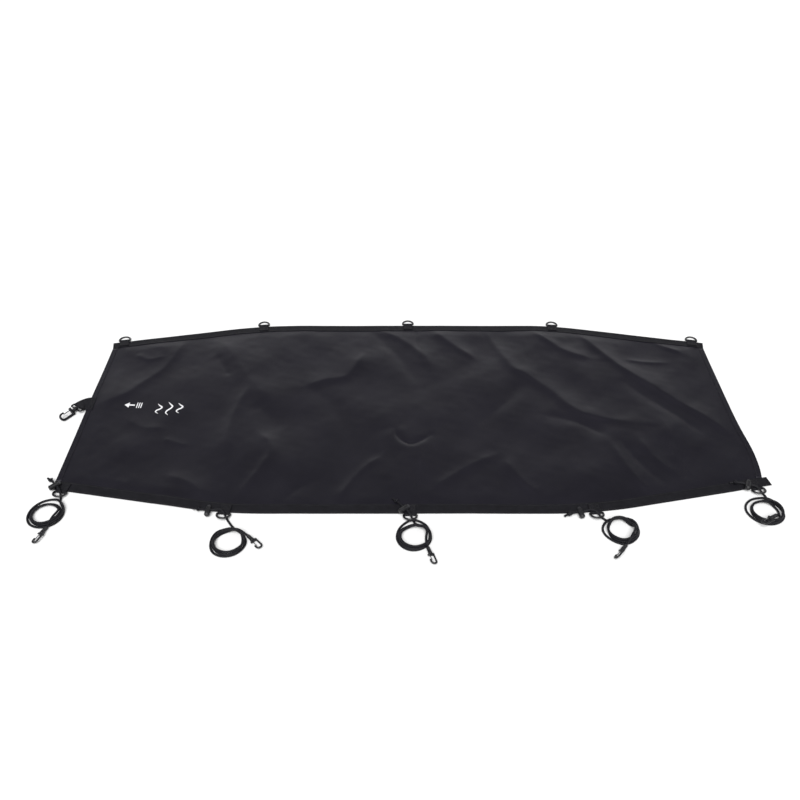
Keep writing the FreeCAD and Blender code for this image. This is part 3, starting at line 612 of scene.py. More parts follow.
# Folds of the fabric, in millimetres: height (a valley is negative), half widths on the far and
# the near side, and the points along the crest, with x and y as in the whole cover.
FOLDS = [
    (4.5, 34, 15, [(-606, 290), (-640, 165), (-682, 100), (-720, 43), (-775, 12)]),
    (6.0, 60, 40, [(-535, 305), (-475, 215), (-410, 105), (-330, 0)]),
    (-3.0, 12, 12, [(-510, 215), (-490, 165), (-462, 115)]),
    (4.5, 22, 20, [(-405, 85), (-428, -6), (-435, -86), (-423, -185)]),
    (-3.5, 26, 26, [(-390, 20), (-345, -30), (-298, -82)]),
    (4.2, 20, 14, [(-370, -82), (-330, -138), (-331, -190), (-390, -310)]),
    (-4.5, 30, 28, [(-262, 83), (-192, 13), (-150, -86), (-118, -158), (-60, -155)]),
    (5.0, 30, 16, [(-275, 78), (-215, 105), (-160, 125), (-112, 225)]),
    (-4.0, 18, 18, [(-105, 330), (-44, 239), (4, 150), (30, 80)]),
    (4.2, 22, 14, [(-85, 335), (-15, 275), (40, 205), (60, 130)]),
    (3.0, 34, 30, [(-45, -70), (-24, -114), (8, -133), (56, -100)]),
    (-5.5, 8, 7, [(-34, -79), (-22, -114), (8, -131), (50, -104)]),
    (4.2, 20, 12, [(-165, -318), (-141, -267), (-109, -213), (-62, -168)]),
    (-3.0, 18, 16, [(-285, -318), (-253, -276), (-200, -243)]),
    (-1.4, 7, 7, [(-754, -150), (-739, -205), (-724, -255)]),
    (-1.4, 7, 7, [(-668, -155), (-655, -210), (-640, -265)]),
    (2.6, 12, 10, [(-590, -110), (-555, -125), (-520, -136)]),
    (-1.6, 5, 5, [(22, 340), (24, 285), (26, 225)]),
    (-1.6, 5, 5, [(18, -160), (17, -240), (14, -335)]),
    (4.4, 24, 14, [(60, 330), (115, 261), (182, 192)]),
    (6.2, 36, 14, [(215, 336), (241, 239), (273, 155), (310, 122), (361, 63), (430, -25), (565, -62)]),
    (-4.0, 22, 20, [(297, 105), (247, 24), (158, -70)]),
    (-3.8, 16, 16, [(324, -25), (406, -52), (478, -106)]),
    (7.2, 42, 13, [(460, 335), (518, 221), (569, 144), (621, 83), (670, 24), (719, -29), (763, -86),
        (790, -140)]),
    (-3.2, 14, 14, [(555, 98), (607, 34), (656, -25), (718, -108)]),
    (4.6, 24, 12, [(336, 328), (388, 261), (436, 216), (495, 192)]),
    (4.2, 18, 14, [(45, -282), (127, -213), (212, -160)]),
    (4.2, 20, 14, [(216, -178), (250, -245), (292, -302)]),
    (3.4, 16, 11, [(478, -125), (500, -210), (538, -296)]),
    (-2.6, 9, 9, [(505, -120), (535, -195), (580, -262)]),
    (3.0, 13, 10, [(545, -110), (572, -180), (620, -240)]),
    (-2.6, 8, 8, [(640, -160), (634, -205), (628, -250)]),
    (3.2, 15, 8, [(655, 285), (698, 245), (738, 212)]),
    (2.8, 13, 8, [(575, 192), (630, 180), (690, 178)]),
    (2.8, 12, 9, [(624, -60), (622, -130), (612, -200)]),
    (2.2, 14, 10, [(-735, 215), (-690, 190), (-650, 205)]),
    (2.4, 16, 12, [(-560, -230), (-500, -255), (-450, -300)]),
    (2.0, 20, 16, [(-700, -40), (-640, -75), (-585, -70)]),
]
# How sharp the folds' crests are: 2 is a round hump, 1 a crease.
CREST = 1.35
# How many half widths a fold reaches, the distance over which its two sides blend, and the share
# of its length over which it fades out at each end.
FOLD_REACH = 3.0
SIDE_BLEND = 0.004
FADE = 0.22
# Gentle waves over the whole panel: how many, their lengths in metres and their height.
WAVES = [(14, 0.16, 0.42, 0.0011), (22, 0.07, 0.14, 0.00032), (30, 0.022, 0.045, 0.00006)]


def stern_edge(y):
    """How far the slack stern edge stands out, and in at its near corner."""
    return 0.007 * np.exp(-((y + 0.160) / 0.075) ** 2) - 0.006 * np.exp(-((y + 0.266) / 0.035) ** 2)


def fold_height(x, y, fold):
    """Height of one fold over the points, fading out at its ends."""
    height, far_width, near_width, points = fold
    line = smooth_line(MM * np.array(points), 6)
    starts, steps = line[:-1], np.diff(line, axis=0)
    lengths = np.linalg.norm(steps, axis=1)
    run = np.concatenate([[0], np.cumsum(lengths)])
    ways = steps / lengths[:, None]
    if ways[:, 0].sum() < 0:
        ways, lengths = -ways, lengths
        starts, run = line[1:], run[1:]
        sense = -1
    else:
        run = run[:-1]
        sense = 1
    reach = FOLD_REACH * MM * max(far_width, near_width)
    low, high = line.min(axis=0) - reach, line.max(axis=0) + reach
    chosen = (x > low[0]) & (x < high[0]) & (y > low[1]) & (y < high[1])
    found = np.zeros_like(x)
    if not chosen.any():
        return found
    offset = np.stack([x[chosen], y[chosen]], axis=1)[:, None, :] - starts[None, :, :]
    along = np.clip((offset * ways).sum(axis=2), 0, lengths)
    rest = offset - along[:, :, None] * ways
    distance = np.linalg.norm(rest, axis=2)
    nearest = distance.argmin(axis=1)
    rows = np.arange(len(nearest))
    gap = distance[rows, nearest]
    away = rest[rows, nearest]
    side = ways[nearest, 0] * away[:, 1] - ways[nearest, 1] * away[:, 0]
    blend = 0.5 + 0.5 * np.tanh(side / SIDE_BLEND)
    width = MM * (near_width + (far_width - near_width) * blend)
    total = np.linalg.norm(np.diff(line, axis=0), axis=1).sum()
    share = (run[nearest] + sense * along[rows, nearest]) / total
    fade = ease(np.clip(np.minimum(share, 1 - share) / FADE, 0, 1))
    found[chosen] = MM * height * (0.25 + 0.75 * fade) * np.exp(-(gap / width) ** CREST)
    return found


def cloth_height(x, y, near, far):
    """Height of the fabric's underside over the floor, always a little above it."""
    rng = np.random.default_rng(11)
    wave = np.zeros_like(x)
    for count, short, long, height in WAVES:
        for _ in range(count):
            angle, phase = rng.uniform(0, pi), rng.uniform(0, 2 * pi)
            length = rng.uniform(short, long)
            along = x * cos(angle) + y * sin(angle)
            wave += height / sqrt(count / 4) * np.sin(2 * pi * along / length + phase)
    inside = np.minimum(np.minimum(y + near, far - y), HALF_LENGTH - np.abs(x))
    weight = ease(np.clip(inside / EDGE_REACH, 0, 1))
    folds = sum(fold_height(x, y, fold) for fold in FOLDS)
    raw = (PUFF + folds) * (0.06 + 0.94 * weight) + wave * (0.35 + 0.65 * weight)
    return FLOOR_GAP + SOFT * np.logaddexp(0, raw / SOFT)


def make_panel(material):
    columns = int(round(2 * HALF_LENGTH / GRID)) + 1
    rows = int(round(2 * HALF_MID / GRID)) + 1
    x = np.linspace(-HALF_LENGTH, HALF_LENGTH, columns)
    near, far = (np.array([edge_at(side, value)[0] for value in x]) for side in (-1, 1))
    share = np.linspace(0, 1, rows)
    y = -near[:, None] + (near + far)[:, None] * share[None, :]
    x, near, far = (np.repeat(line[:, None], rows, axis=1) for line in (x, near, far))
    z = cloth_height(x.ravel(), y.ravel(), near.ravel(), far.ravel()).reshape(x.shape) + FABRIC
    slack = np.clip((x / HALF_LENGTH - 0.9) / 0.1, 0, 1)
    x = x + stern_edge(y) * slack
    top = np.stack([x.ravel(), y.ravel(), z.ravel()], axis=1)
    vertices = np.vstack([top, top - (0, 0, FABRIC)])
    half = len(top)
    faces = []
    for column in range(columns - 1):
        for row in range(rows - 1):
            a = column * rows + row
            faces.append((a, a + rows, a + rows + 1, a + 1))
            faces.append((half + a, half + a + 1, half + a + rows + 1, half + a + rows))
    rim = [column * rows for column in range(columns)]
    rim += [(columns - 1) * rows + row for row in range(1, rows)]
    rim += [column * rows + rows - 1 for column in range(columns - 2, -1, -1)]
    rim += list(range(rows - 2, 0, -1))
    for start, end in zip(rim, rim[1:] + rim[:1]):
        faces.append((start, half + start, half + end, end))
    panel = new_piece("fabric_panel", vertices, faces, material, replaces=["deck_panel"],
                      slot="coated_fabric")
    upper = [face for face in faces if max(face) < half]
    return panel, BVHTree.FromPolygons([tuple(point) for point in top], upper)


def top_at(x, y):
    """Height of the fabric's top, or of its nearest edge outside it."""
    hit = panel_tree.ray_cast(Vector((x, y, 1)), Vector((0, 0, -1)))[0]
    if hit is None:
        hit = panel_tree.find_nearest(Vector((x, y, FABRIC)))[0]
    return hit.z


# ---------------- webbing and hems

# Section of the webbing: share of the width and of the thickness, up one selvedge, over the top
# and down the other.
WEB_SECTION = [(0.0, 0.15), (0.0, 0.75), (0.012, 0.97), (0.045, 1.06), (0.09, 0.97), (0.2, 0.95),
               (0.35, 0.98), (0.5, 1.0), (0.65, 0.98), (0.8, 0.95), (0.91, 0.97), (0.955, 1.06),
               (0.988, 0.97), (1.0, 0.75), (1.0, 0.15), (0.97, 0.0), (0.5, 0.0), (0.03, 0.0)]
STITCH = 0.0030
STITCH_GAP = 0.0012
THREAD = 0.00034
# The seams of the edge bands run this far in from the selvedges.
SEAM_INSET = 0.0026
BOW_OVERHANG = 0.006
# A folded strap is a little thinner than the webbing of the bands.
STRAP_THICK = 0.00115


def stitch_row(build, points):
    """Separate thread stitches along a line of points on a surface."""
    line = [Vector(point) for point in points]
    run = [0.0]
    for start, end in zip(line, line[1:]):
        run.append(run[-1] + (end - start).length)

    def at(distance):
        place = min(int(np.searchsorted(run, distance, side="right")) - 1, len(line) - 2)
        share = (distance - run[place]) / max(run[place + 1] - run[place], 1e-9)
        return line[place].lerp(line[place + 1], min(share, 1.0))

    start = STITCH_GAP
    while start + STITCH < run[-1]:
        rows = []
        places = [at(start + STITCH * share) for share in (0.0, 0.2, 0.5, 0.8, 1.0)]
        lifts = (-0.9, 0.25, 0.55, 0.25, -0.9)
        way = (places[-1] - places[0]).normalized()
        side = way.cross(FLAT).normalized()
        for place, lift in zip(places, lifts):
            middle = place + FLAT * (THREAD * lift)
            rows.append([middle + side * (THREAD * cos(turn)) + FLAT * (THREAD * sin(turn))
                         for turn in (0.0, 1.26, 2.51, 3.77, 5.03)])
        build.loft(rows)
        start += STITCH + STITCH_GAP


def edge_point(side, x, inwards):
    """Point at a distance inwards from a long edge; past the panel's end the edge runs on."""
    half, lean = edge_at(side, max(-HALF_LENGTH, min(HALF_LENGTH, x)))
    over = abs(x) - HALF_LENGTH
    if over > 0:
        half -= over * tan(lean)
    turn = copysign(lean, x)
    return (x - sin(turn) * inwards, side * (half - cos(turn) * inwards))


def edge_band(name, side, stern_overhang, material, stitches):
    """Webbing strip along one long edge, lying on the fabric."""
    build = Build()
    start, end = -HALF_LENGTH - BOW_OVERHANG, HALF_LENGTH + stern_overhang
    count = 220
    rows = []
    for step in range(count + 1):
        x = start + (end - start) * step / count
        row = []
        for across, up in WEB_SECTION:
            px, py = edge_point(side, x, across * WEB_WIDTH)
            row.append((px, py, top_at(px, py) + up * WEB_THICK + 0.00004))
        rows.append(row if side < 0 else row[::-1])
    build.loft(rows)
    for inset in (SEAM_INSET, WEB_WIDTH - SEAM_INSET):
        line = []
        for step in range(count + 1):
            x = start + 0.003 + (end - start - 0.006) * step / count
            px, py = edge_point(side, x, inset)
            line.append((px, py, top_at(px, py) + WEB_THICK))
        stitch_row(stitches, line)
    return build.piece(name + "_sewn", material, replaces=[name], slot="webbing")


# Section of a hem: metres in from the end of the panel, and share of the thickness.
HEM_SECTION = [(-0.0009, -0.2), (-0.0014, 0.35), (-0.0012, 0.9), (-0.0004, 1.25), (0.002, 1.2),
               (0.006, 0.95), (0.0102, 1.05), (0.0113, 0.85), (0.0118, 0.35), (0.0118, 0.0), (0.006, 0.0),
               (0.001, 0.0)]
HEM_THICK = 0.0010


def end_hem(name, end, material, stitches):
    """Hem folded over one end of the panel, between the two edge bands."""
    build = Build()
    low = -(HALF_NEAR_BOW if end < 0 else HALF_END) + WEB_WIDTH * 1.03
    high = HALF_END - WEB_WIDTH * 1.03
    count = 90
    rows = []
    line = []
    for step in range(count + 1):
        y = low + (high - low) * step / count
        edge = HALF_LENGTH + (stern_edge(y) if end > 0 else 0.0)
        pucker = 1 + 0.16 * sin(y * 480) * sin(y * 131 + 1)
        row = []
        for inwards, up in HEM_SECTION:
            x = end * (edge - inwards)
            lift = up * HEM_THICK * (pucker if up > 0.5 else 1.0)
            row.append((x, y, max(top_at(x, y) + lift, 0.0003)))
        rows.append(row if end < 0 else row[::-1])
        x = end * (edge - HEM_WIDTH + 0.0022)
        line.append((x, y, top_at(x, y) + 1.02 * HEM_THICK))
    build.loft(rows)
    stitch_row(stitches, line)
    return build.piece(name + "_sewn", material, replaces=[name], slot="coated_fabric")


def ribbon_rows(path, across_ways, widths):
    """Sections of a flat strap along a path; across_ways are level directions."""
    rows = []
    last = len(path) - 1
    for place, (point, across, width) in enumerate(zip(path, across_ways, widths)):
        way = Vector(path[min(place + 1, last)]) - Vector(path[max(place - 1, 0)])
        up = Vector(across).cross(way).normalized()
        row = []
        for share, height in WEB_SECTION:
            row.append(Vector(point) + Vector(across) * ((share - 0.5) * width)
                       + up * ((height - 0.5) * STRAP_THICK))
        rows.append(row)
    return rows


# Side view of a ring loop in millimetres: inwards from the edge and up, out over the bar and back
# under it.
LOOP_PATH = [(20.0, 3.75), (14.0, 3.80), (7.0, 3.85), (2.0, 4.25), (-1.4, 5.25), (-4.5, 6.0),
             (-6.6, 5.05), (-7.2, 3.3), (-6.5, 1.6), (-4.5, 0.75), (-2.0, 1.35), (0.8, 2.45),
             (7.0, 2.62), (14.0, 2.6), (20.0, 2.6)]


BOX_NEAR, BOX_FAR = 0.0068, 0.0182
LOOP_SEAM_HEIGHT = 0.0044


def along_box(corners, steps):
    """Points on the straight runs between a seam's corners, without the last corner."""
    return [(x + (x_end - x) * step / steps, y + (y_end - y) * step / steps)
            for (x, y), (x_end, y_end) in zip(corners, corners[1:]) for step in range(steps)]


def ring_loop(build, stitches, place):
    """One webbing loop, folded round a ring's bar and sewn to the band in a box."""
    path = []
    for inwards, height in MM * smooth_line(LOOP_PATH, 3):
        spot = place @ Vector((0, inwards, 0))
        lift = top_at(spot.x, spot.y) - FABRIC if inwards > 0 else 0.0
        path.append(place @ Vector((0, inwards, height + lift)))
    across = (place.to_3x3() @ Vector((1, 0, 0))).normalized()
    build.loft(ribbon_rows(path, [across] * len(path), [WEB_WIDTH - 0.0004] * len(path))[::-1])
    half = WEB_WIDTH / 2 - 0.0032
    box = [(-half, BOX_FAR), (half, BOX_FAR), (half, BOX_NEAR), (-half, BOX_NEAR), (-half, BOX_FAR),
           (half, BOX_NEAR), (half, BOX_FAR), (-half, BOX_NEAR)]
    line = []
    for sideways, inwards in along_box(box, 4):
        spot = place @ Vector((sideways, inwards, 0))
        middle = place @ Vector((0, inwards, 0))
        line.append((spot.x, spot.y, top_at(middle.x, middle.y) - FABRIC + LOOP_SEAM_HEIGHT))
    stitch_row(stitches, line)


def ring_loops(name, side, material, stitches):
    build = Build()
    for number in STATIONS:
        ring_loop(build, stitches, station_frame(number, side))
    return build.piece(name + "_sewn", material, replaces=[name], slot="webbing")


# ---------------- bow tab

SNAP_BAR = (-0.820, -0.003, 0.0084)
SNAP_HEADING = radians(235.0)
SNAP_ROLL = radians(-40.0)
TAB_BASE_Y = 0.013
# Radius of the strap round the eye's bar, half width of its seam, and the seam's height.
TAB_WRAP = 0.0027
TAB_SEAM_HALF = 0.0195
TAB_SEAM_HEIGHT = 0.0052


def bow_tab(material, stitches):
    """Strap sewn on the bow hem, drawn askew, folded round the eye's bar and back under itself."""
    build = Build()
    ahead = Vector((cos(SNAP_HEADING), sin(SNAP_HEADING), 0))
    bar_way = Vector((-ahead.y, ahead.x, 0))
    bar = Vector(SNAP_BAR)
    base = Vector((-HALF_LENGTH + 0.014, TAB_BASE_Y, 0.0044))
    edge = Vector((-HALF_LENGTH - 0.007, TAB_BASE_Y - 0.001, 0.0050))
    top = [base, base.lerp(edge, 0.5), edge, edge.lerp(bar, 0.5) + Vector((0, 0.001, 0.0016))]
    ways = [Vector((0, 1, 0))] * 3 + [Vector((0, 1, 0)).lerp(-bar_way, 0.5).normalized()]
    widths = [0.046, 0.046, 0.045, 0.036]
    for turn in (90, 45, 0, -45, -90):
        angle = radians(turn)
        top.append(bar + ahead * (TAB_WRAP * cos(angle)) + FLAT * (TAB_WRAP * sin(angle)))
        ways.append(-bar_way)
        widths.append(0.030)
    under = Vector((0, 0, -0.0013))
    for point, way, width in zip(top[3::-1], ways[3::-1], widths[3::-1]):
        top.append(point + under)
        ways.append(way)
        widths.append(width - 0.001)
    line = smooth_line([tuple(point) for point in top], 4)
    fine_ways = smooth_line([tuple(way) for way in ways], 4)
    fine_widths = smooth_values(widths, 4)
    fine_ways = [Vector(way).normalized() for way in fine_ways]
    build.loft(ribbon_rows(line, fine_ways, fine_widths))
    half = TAB_SEAM_HALF
    inner, outer = base.x - 0.003, -HALF_LENGTH + 0.002
    box = [(inner, -half), (inner, half), (outer, half), (outer, -half), (inner, -half), (outer, half),
           (outer, -half), (inner, half)]
    stitch_row(stitches, [(x, TAB_BASE_Y + y, TAB_SEAM_HEIGHT) for x, y in along_box(box, 5)])
    return build.piece("bow_strap", material, replaces=["bow_tab"], slot="webbing")


# ---------------- print on the fabric


def stroke(build, points, widths):
    """Thin painted stroke that follows the fabric; widths are given at the points."""
    line = smooth_line(points, 6)
    broad = smooth_values(widths, 6)
    rows = []
    for place, (point, width) in enumerate(zip(line, broad)):
        way = line[min(place + 1, len(line) - 1)] - line[max(place - 1, 0)]
        way = way / np.linalg.norm(way)
        side = np.array([-way[1], way[0]])
        row = []
        for share in (-0.5, -0.25, 0.0, 0.25, 0.5):
            x, y = point + side * (share * width)
            row.append((x, y, top_at(x, y) + (0.00018 if abs(share) < 0.5 else 0.00010)))
        row += [(x, y, z - 0.00016) for x, y, z in row[::-1]]
        rows.append(row)
    build.loft(rows)


def make_prints(material):
    """An arrow towards the bow with three bars behind it, and three waves."""
    arrow = Build()
    middle = 0.007
    stroke(arrow, [(-0.684, middle), (-0.692, middle), (-0.700, middle)], [0.0045, 0.0045, 0.0045])
    stroke(arrow, [(-0.698, middle), (-0.7035, middle), (-0.7095, middle)], [0.019, 0.010, 0.0008])
    for place in range(3):
        x = -0.6785 + 0.0052 * place
        stroke(arrow, [(x, middle - 0.010), (x, middle), (x, middle + 0.010)], [0.0022, 0.0026, 0.0022])
    pieces = [arrow.piece("print_arrow", material, slot="coated_fabric")]
    waves = Build()
    for x, length in ((-0.622, 0.036), (-0.596, 0.048), (-0.570, 0.036)):
        points = []
        for step in range(7):
            share = step / 6 - 0.5
            points.append((x + 0.0065 * sin(2 * pi * share * 1.25 + 0.6), -0.004 + share * length))
        stroke(waves, points, [0.0008, 0.0030, 0.0042, 0.0046, 0.0042, 0.0030, 0.0008])
    pieces.append(waves.piece("print_waves", material, slot="coated_fabric"))
    return pieces


# ---------------- knots


def make_knot(number, material):
    """Overhand knot at a cord's end, and its short tail."""
    place = station_frame(number, -1)
    end, before = (place @ mm(*point) for point in CORDS[number]["route"][:2])
    way = (end - before).normalized()
    turn = way.to_track_quat("Z", "Y").to_matrix().to_4x4()
    frame_here = Matrix.Translation(end) @ turn
    build = Build()
    around = 40
    points = []
    for step in range(around):
        t = 2 * pi * step / around
        local = Vector((sin(t) + 2 * sin(2 * t), cos(t) - 2 * cos(2 * t), -1.25 * sin(3 * t)))
        points.append(frame_here @ (local * 0.00135 + Vector((0, 0, 0.0005))))
    rows = tube_rows(points, [CORD_RADIUS * 0.82] * len(points), 14)
    build.loft(rows, ring=True)
    reach = (0.001, 0.006, 0.010, 0.0128, 0.0136)
    radii = (0.96, 0.94, 0.97, 1.02, 0.86)
    tail = [frame_here @ Vector((0.0006 * index, 0, height)) for index, height in enumerate(reach)]
    build.loft(tube_rows(tail, [CORD_RADIUS * share for share in radii], 16))
    return build.piece(f"end_knot_{number}", material, replaces=["stopper_knots"], slot="elastic_cord")


# ---------------- rings and hooks

BAR_OFFSET = 0.0045
BAR_HEIGHT = 0.00335
RING_WIRE = 0.002
RING_HALF = 0.0145
RING_LEG = 0.0055
NEAR_RING_LIFT = 17.0
FAR_RING_LIFT = -degrees(asin((BAR_HEIGHT - RING_WIRE) / (RING_LEG + RING_HALF)))
RING_CORNER = 0.003
# The bow of a ring is this much broader than its bar, from this far past the corner on.
LIP = 0.0005
LIP_RISE = 0.004


def arc(centre, radius, first, last, steps):
    """Points of an arc in the plane, both ends included; angles in degrees."""
    found = []
    for step in range(steps + 1):
        turn = radians(first + (last - first) * step / steps)
        found.append((centre[0] + radius * cos(turn), centre[1] + radius * sin(turn)))
    return found


WIRE_SIDES = 16
TURNED_SIDES = 28


def closed_wire(build, place, path, section):
    """Loop of wire in the place's own xy plane.

    section(x, y) gives the section's shift outwards, half width and half height there.
    """
    rows = []
    count = len(path)
    for index, (x, y) in enumerate(path):
        ahead, behind = path[(index + 1) % count], path[index - 1]
        way = Vector((ahead[0] - behind[0], ahead[1] - behind[1], 0)).normalized()
        out = Vector((way.y, -way.x, 0))
        shift, wide, high = section(x, y)
        row = []
        for side in range(WIRE_SIDES):
            turn = 2 * pi * side / WIRE_SIDES
            row.append(place @ (Vector((x, y, 0)) + out * (shift + wide * cos(turn))
                                + Vector((0, 0, high * sin(turn)))))
        rows.append(row)
    build.loft(rows, ring=True)


def make_ring(name, frame_at, lift, material):
    """Moulded D-ring: a round bar, and a bow with a broader outer lip."""
    place = (frame_at @ Matrix.Translation((0, -BAR_OFFSET, BAR_HEIGHT))
             @ turn_about("X", -radians(lift)))
    inner = RING_HALF - RING_CORNER
    path = [(inner * share, 0.0) for share in (-0.6, -0.3, 0.0, 0.3, 0.6)]
    path += arc((inner, -RING_CORNER), RING_CORNER, 90, 0, 5)
    path += arc((0, -RING_LEG), RING_HALF, 0, -180, 32)
    path += arc((-inner, -RING_CORNER), RING_CORNER, 180, 90, 5)

    def section(_, y):
        share = ease(min(max((-y - RING_CORNER) / LIP_RISE, 0.0), 1.0))
        return LIP * share, RING_WIRE + LIP * share, RING_WIRE - 0.0001 * share

    build = Build()
    closed_wire(build, place, path, section)
    build.piece(name + "_moulded", material, body=name, replaces=[name], slot="ring_wire")


def turned(build, place, profile):
    """Solid of revolution about the place's x axis; profile holds x and radius in millimetres."""
    rows = []
    for x, radius in profile:
        row = []
        for side in range(TURNED_SIDES):
            turn = 2 * pi * side / TURNED_SIDES
            row.append(place @ (MM * Vector((x, radius * cos(turn), radius * sin(turn)))))
        rows.append(row)
    build.loft(rows)


PLATE_SIDES = 32
PLATE_EDGE = 0.6


def soft_plate(build, place, start, length, low, high, bottom, top):
    """Plate with rounded edges, in millimetres: along x, between two y and two z."""
    middle = Vector(((low + high) / 2, (bottom + top) / 2))
    half = Vector(((high - low) / 2, (top - bottom) / 2))
    edge = min(PLATE_EDGE, half.y * 0.8)
    rows = []
    for along, inset in ((0, edge), (edge * 0.35, edge * 0.3), (edge, 0), (length - edge, 0),
                         (length - edge * 0.35, edge * 0.3), (length, edge)):
        row = []
        for side in range(PLATE_SIDES):
            turn = 2 * pi * (side + 0.5) / PLATE_SIDES
            c, d = cos(turn), sin(turn)
            y = middle.x + (half.x - inset) * copysign(abs(c) ** 0.35, c)
            z = middle.y + (half.y - inset) * copysign(abs(d) ** 0.45, d)
            row.append(place @ (MM * Vector((start + along, y, z))))
        rows.append(row)
    build.loft(rows)


BACK_STEPS = 40
BEND_STEPS = 20
JAW_SIDES = 18
GRIP_PITCH = 2.6
# Past the bend: shares of the tip's length, and the wire's thickness there.
TIP = [(0.35, 1.0), (0.7, 1.0), (1.0, 0.97), (1.12, 0.85), (1.25, 0.6), (1.36, 0.2)]


def hook_jaw(build, place, start, bend_x, bend, wire, tip, ridge=0.0, stout=0.0):
    """J of the hook in millimetres, thicker at its root and bend.

    ridge is the height of the grip ribs on its back, and stout how much thicker the back is than
    the tip; the thickening grows inwards.
    """
    path = []
    radii = []
    for step in range(BACK_STEPS):
        x = start + step * (bend_x - start) / BACK_STEPS
        root = exp(-((x - start) / 2.5) ** 2)
        grip = ridge * max(0.0, sin(2 * pi * x / GRIP_PITCH)) if start + 4 < x < bend_x else 0.0
        path.append((x, bend - stout))
        radii.append(wire * (1 + 0.28 * root) + grip + stout)
    for step, (x, y) in enumerate(arc((bend_x, 0), bend, 90, -90, BEND_STEPS)):
        left = 1 - step / BEND_STEPS
        inwards = 1 - stout / bend * left
        path.append((bend_x + (x - bend_x) * inwards, y * inwards))
        radii.append(wire * (1 + 0.10 * sin(pi * step / BEND_STEPS)) + stout * left)
    for share, thickness in TIP:
        path.append((bend_x - tip * share, -bend))
        radii.append(wire * thickness)
    points = [place @ (MM * Vector((x, y, 0))) for x, y in path]
    build.loft(tube_rows(points, [MM * radius for radius in radii], JAW_SIDES))


# Turned shapes, as x and radius in millimetres.
FERRULE = [(0.5, 2.4), (0.1, 2.7), (0.0, 3.3), (0.4, 3.8), (2.0, 3.9), (2.4, 3.55), (3.2, 3.55),
           (3.6, 3.95), (5.2, 4.0), (5.6, 3.65), (6.4, 3.65), (6.8, 4.1), (8.4, 4.15), (8.8, 3.8),
           (9.6, 3.8), (10.0, 4.2), (14.0, 4.45), (17.2, 4.6), (17.8, 4.3), (18.2, 3.0)]
EYE_BOSS = [(7.0, 2.1), (7.0, 3.7), (7.4, 4.2), (9.0, 4.3), (11.0, 4.3), (12.6, 4.2), (13.0, 3.7),
            (13.0, 2.1)]
SNAP_STEM = [(4.5, 1.0), (4.5, 3.2), (4.9, 3.6), (6.5, 3.6), (6.9, 3.2), (6.9, 2.0), (13.1, 2.0),
             (13.1, 3.9), (13.6, 4.5), (14.4, 4.5), (14.8, 4.1), (15.4, 4.1), (15.8, 4.5),
             (16.6, 4.5), (17.1, 3.9), (17.4, 2.9), (19.0, 2.9)]
# The wire frame of the snap hook's eye: half its width, its depth and its corners.
EYE_HALF, EYE_DEPTH, EYE_CORNER, EYE_WIRE = 0.0173, 0.010, 0.0028, 0.002


def make_hook(number, material):
    """Moulded bungee hook: crimped ferrule, slotted shoulder and J."""
    cord = CORDS[number]
    place = (Matrix.Translation(mm(*cord["hook"], HOOK_HEIGHT[number]))
             @ turn_about("Z", radians(cord["heading"])) @ turn_about("X", radians(HOOK_ROLL[number])))
    build = Build()
    turned(build, place, FERRULE)
    soft_plate(build, place, 17.0, 4.5, -6.75, 6.75, 1.25, 2.75)
    soft_plate(build, place, 17.0, 4.5, -6.75, 6.75, -2.75, -1.25)
    soft_plate(build, place, 17.1, 4.3, 1.8, 6.6, -1.5, 1.5)
    hook_jaw(build, place, 18.5, 37.0, 6.0, 1.9, 4.2)
    return build.piece(f"hook_moulding_{number}", material, replaces=[f"hook_body_{number}"],
                       slot="black_plastic")


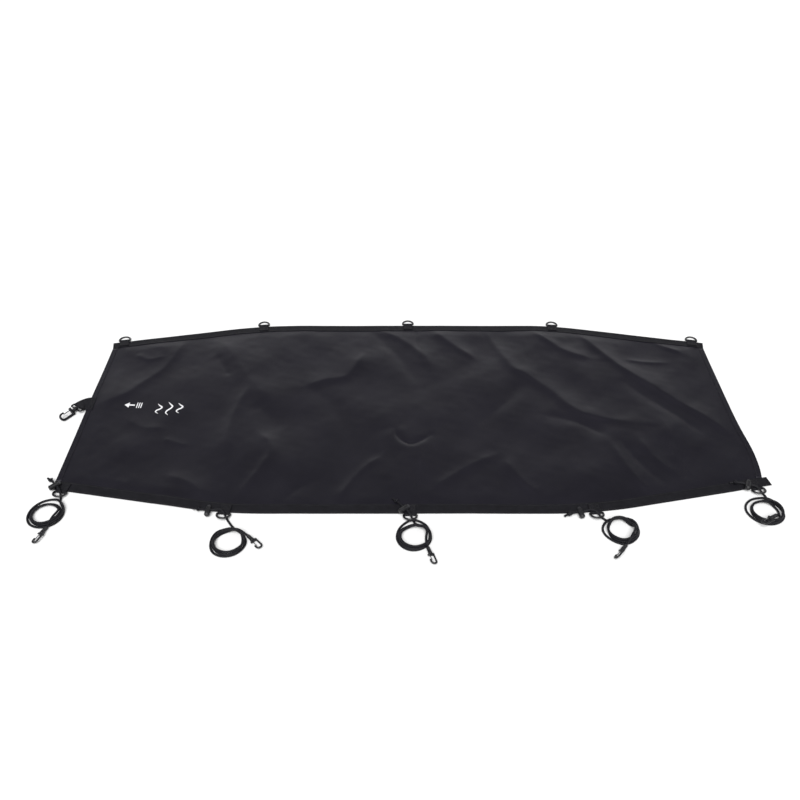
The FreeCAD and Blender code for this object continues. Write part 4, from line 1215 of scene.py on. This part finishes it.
def make_snap(material):
    """Swivel eye with its boss, and the snap hook with grip ribs along its back."""
    eye = Matrix.Translation(SNAP_BAR) @ turn_about("Z", SNAP_HEADING)
    hook = eye @ turn_about("X", SNAP_ROLL)
    half, depth, corner = EYE_HALF, EYE_DEPTH, EYE_CORNER
    path = [(0.0, half * share) for share in (-0.6, -0.3, 0.0, 0.3, 0.6)]
    path += arc((corner, half - corner), corner, 180, 90, 5)
    path += arc((depth - corner, half - corner), corner, 90, 0, 5)
    path += [(depth, half * share) for share in (0.6, 0.3, 0.0, -0.3, -0.6)]
    path += arc((depth - corner, corner - half), corner, 0, -90, 5)
    path += arc((corner, corner - half), corner, -90, -180, 5)
    build = Build()
    closed_wire(build, eye, path, lambda x, y: (0.0, EYE_WIRE, EYE_WIRE))
    turned(build, eye, EYE_BOSS)
    build.piece("snap_eye_cast", material, body="snap_eye", replaces=["snap_eye"], slot="snap_metal")
    build = Build()
    turned(build, hook, SNAP_STEM)
    soft_plate(build, hook, 18.5, 6.0, -10.0, 10.0, 1.72, 2.5)
    soft_plate(build, hook, 18.5, 6.0, -10.0, 10.0, -2.5, -1.72)
    soft_plate(build, hook, 18.6, 5.8, 1.9, 9.8, -1.9, 1.9)
    hook_jaw(build, hook, 20.5, 46.0, 8.3, 2.2, 5.0, ridge=0.35, stout=0.7)
    build.piece("snap_hook_cast", material, body="snap_hook", replaces=["snap_hook"], slot="snap_metal")


# ---------------- assembly

make_camera()
make_studio()
looks = {
    "coated_fabric": coated_fabric(),
    "webbing": webbing(),
    "elastic_cord": elastic_cord(),
    "ring_wire": plastic("ring_plastic", (0.010, 0.010, 0.012), 0.32),
    "black_plastic": plastic("black_plastic", (0.009, 0.009, 0.011), 0.42),
    "grey_plastic": plastic("grey_plastic", (0.028, 0.028, 0.032), 0.45),
    "gate_wire": metal("gate_wire", (0.35, 0.35, 0.36), 0.3),
    "spring_steel": metal("spring_steel", (0.45, 0.45, 0.46), 0.3),
    "snap_metal": metal("snap_metal", (0.05, 0.05, 0.055), 0.36),
    "thread": plastic("thread", (0.010, 0.010, 0.012), 0.5),
    "print_ink": print_ink(),
}
slots = {part["node"]: part["material_slot"] for part in frame["record"]["subparts"]}
for node, piece in frame["nodes"].items():
    piece.data.materials.clear()
    piece.data.materials.append(looks[slots[node]])
panel, panel_tree = make_panel(looks["coated_fabric"])
stitches = Build()
sewn = [
    edge_band("far_edge_band", 1, 0.006, looks["webbing"], stitches),
    edge_band("near_edge_band", -1, 0.015, looks["webbing"], stitches),
    end_hem("bow_hem", -1, looks["coated_fabric"], stitches),
    end_hem("stern_hem", 1, looks["coated_fabric"], stitches),
    ring_loops("far_ring_loops", 1, looks["webbing"], stitches),
    ring_loops("near_ring_loops", -1, looks["webbing"], stitches),
    bow_tab(looks["webbing"], stitches),
    stitches.piece("stitching", looks["thread"], slot="webbing"),
] + make_prints(looks["print_ink"])
for number in STATIONS:
    knot = make_knot(number, looks["elastic_cord"])
    make_cord(number, looks["elastic_cord"], [knot, make_hook(number, looks["black_plastic"])])
    make_ring(f"far_ring_{number}", station_frame(number, 1), FAR_RING_LIFT, looks["ring_wire"])
    make_ring(f"near_ring_{number}", station_frame(number, -1), NEAR_RING_LIFT, looks["ring_wire"])
make_snap(looks["snap_metal"])
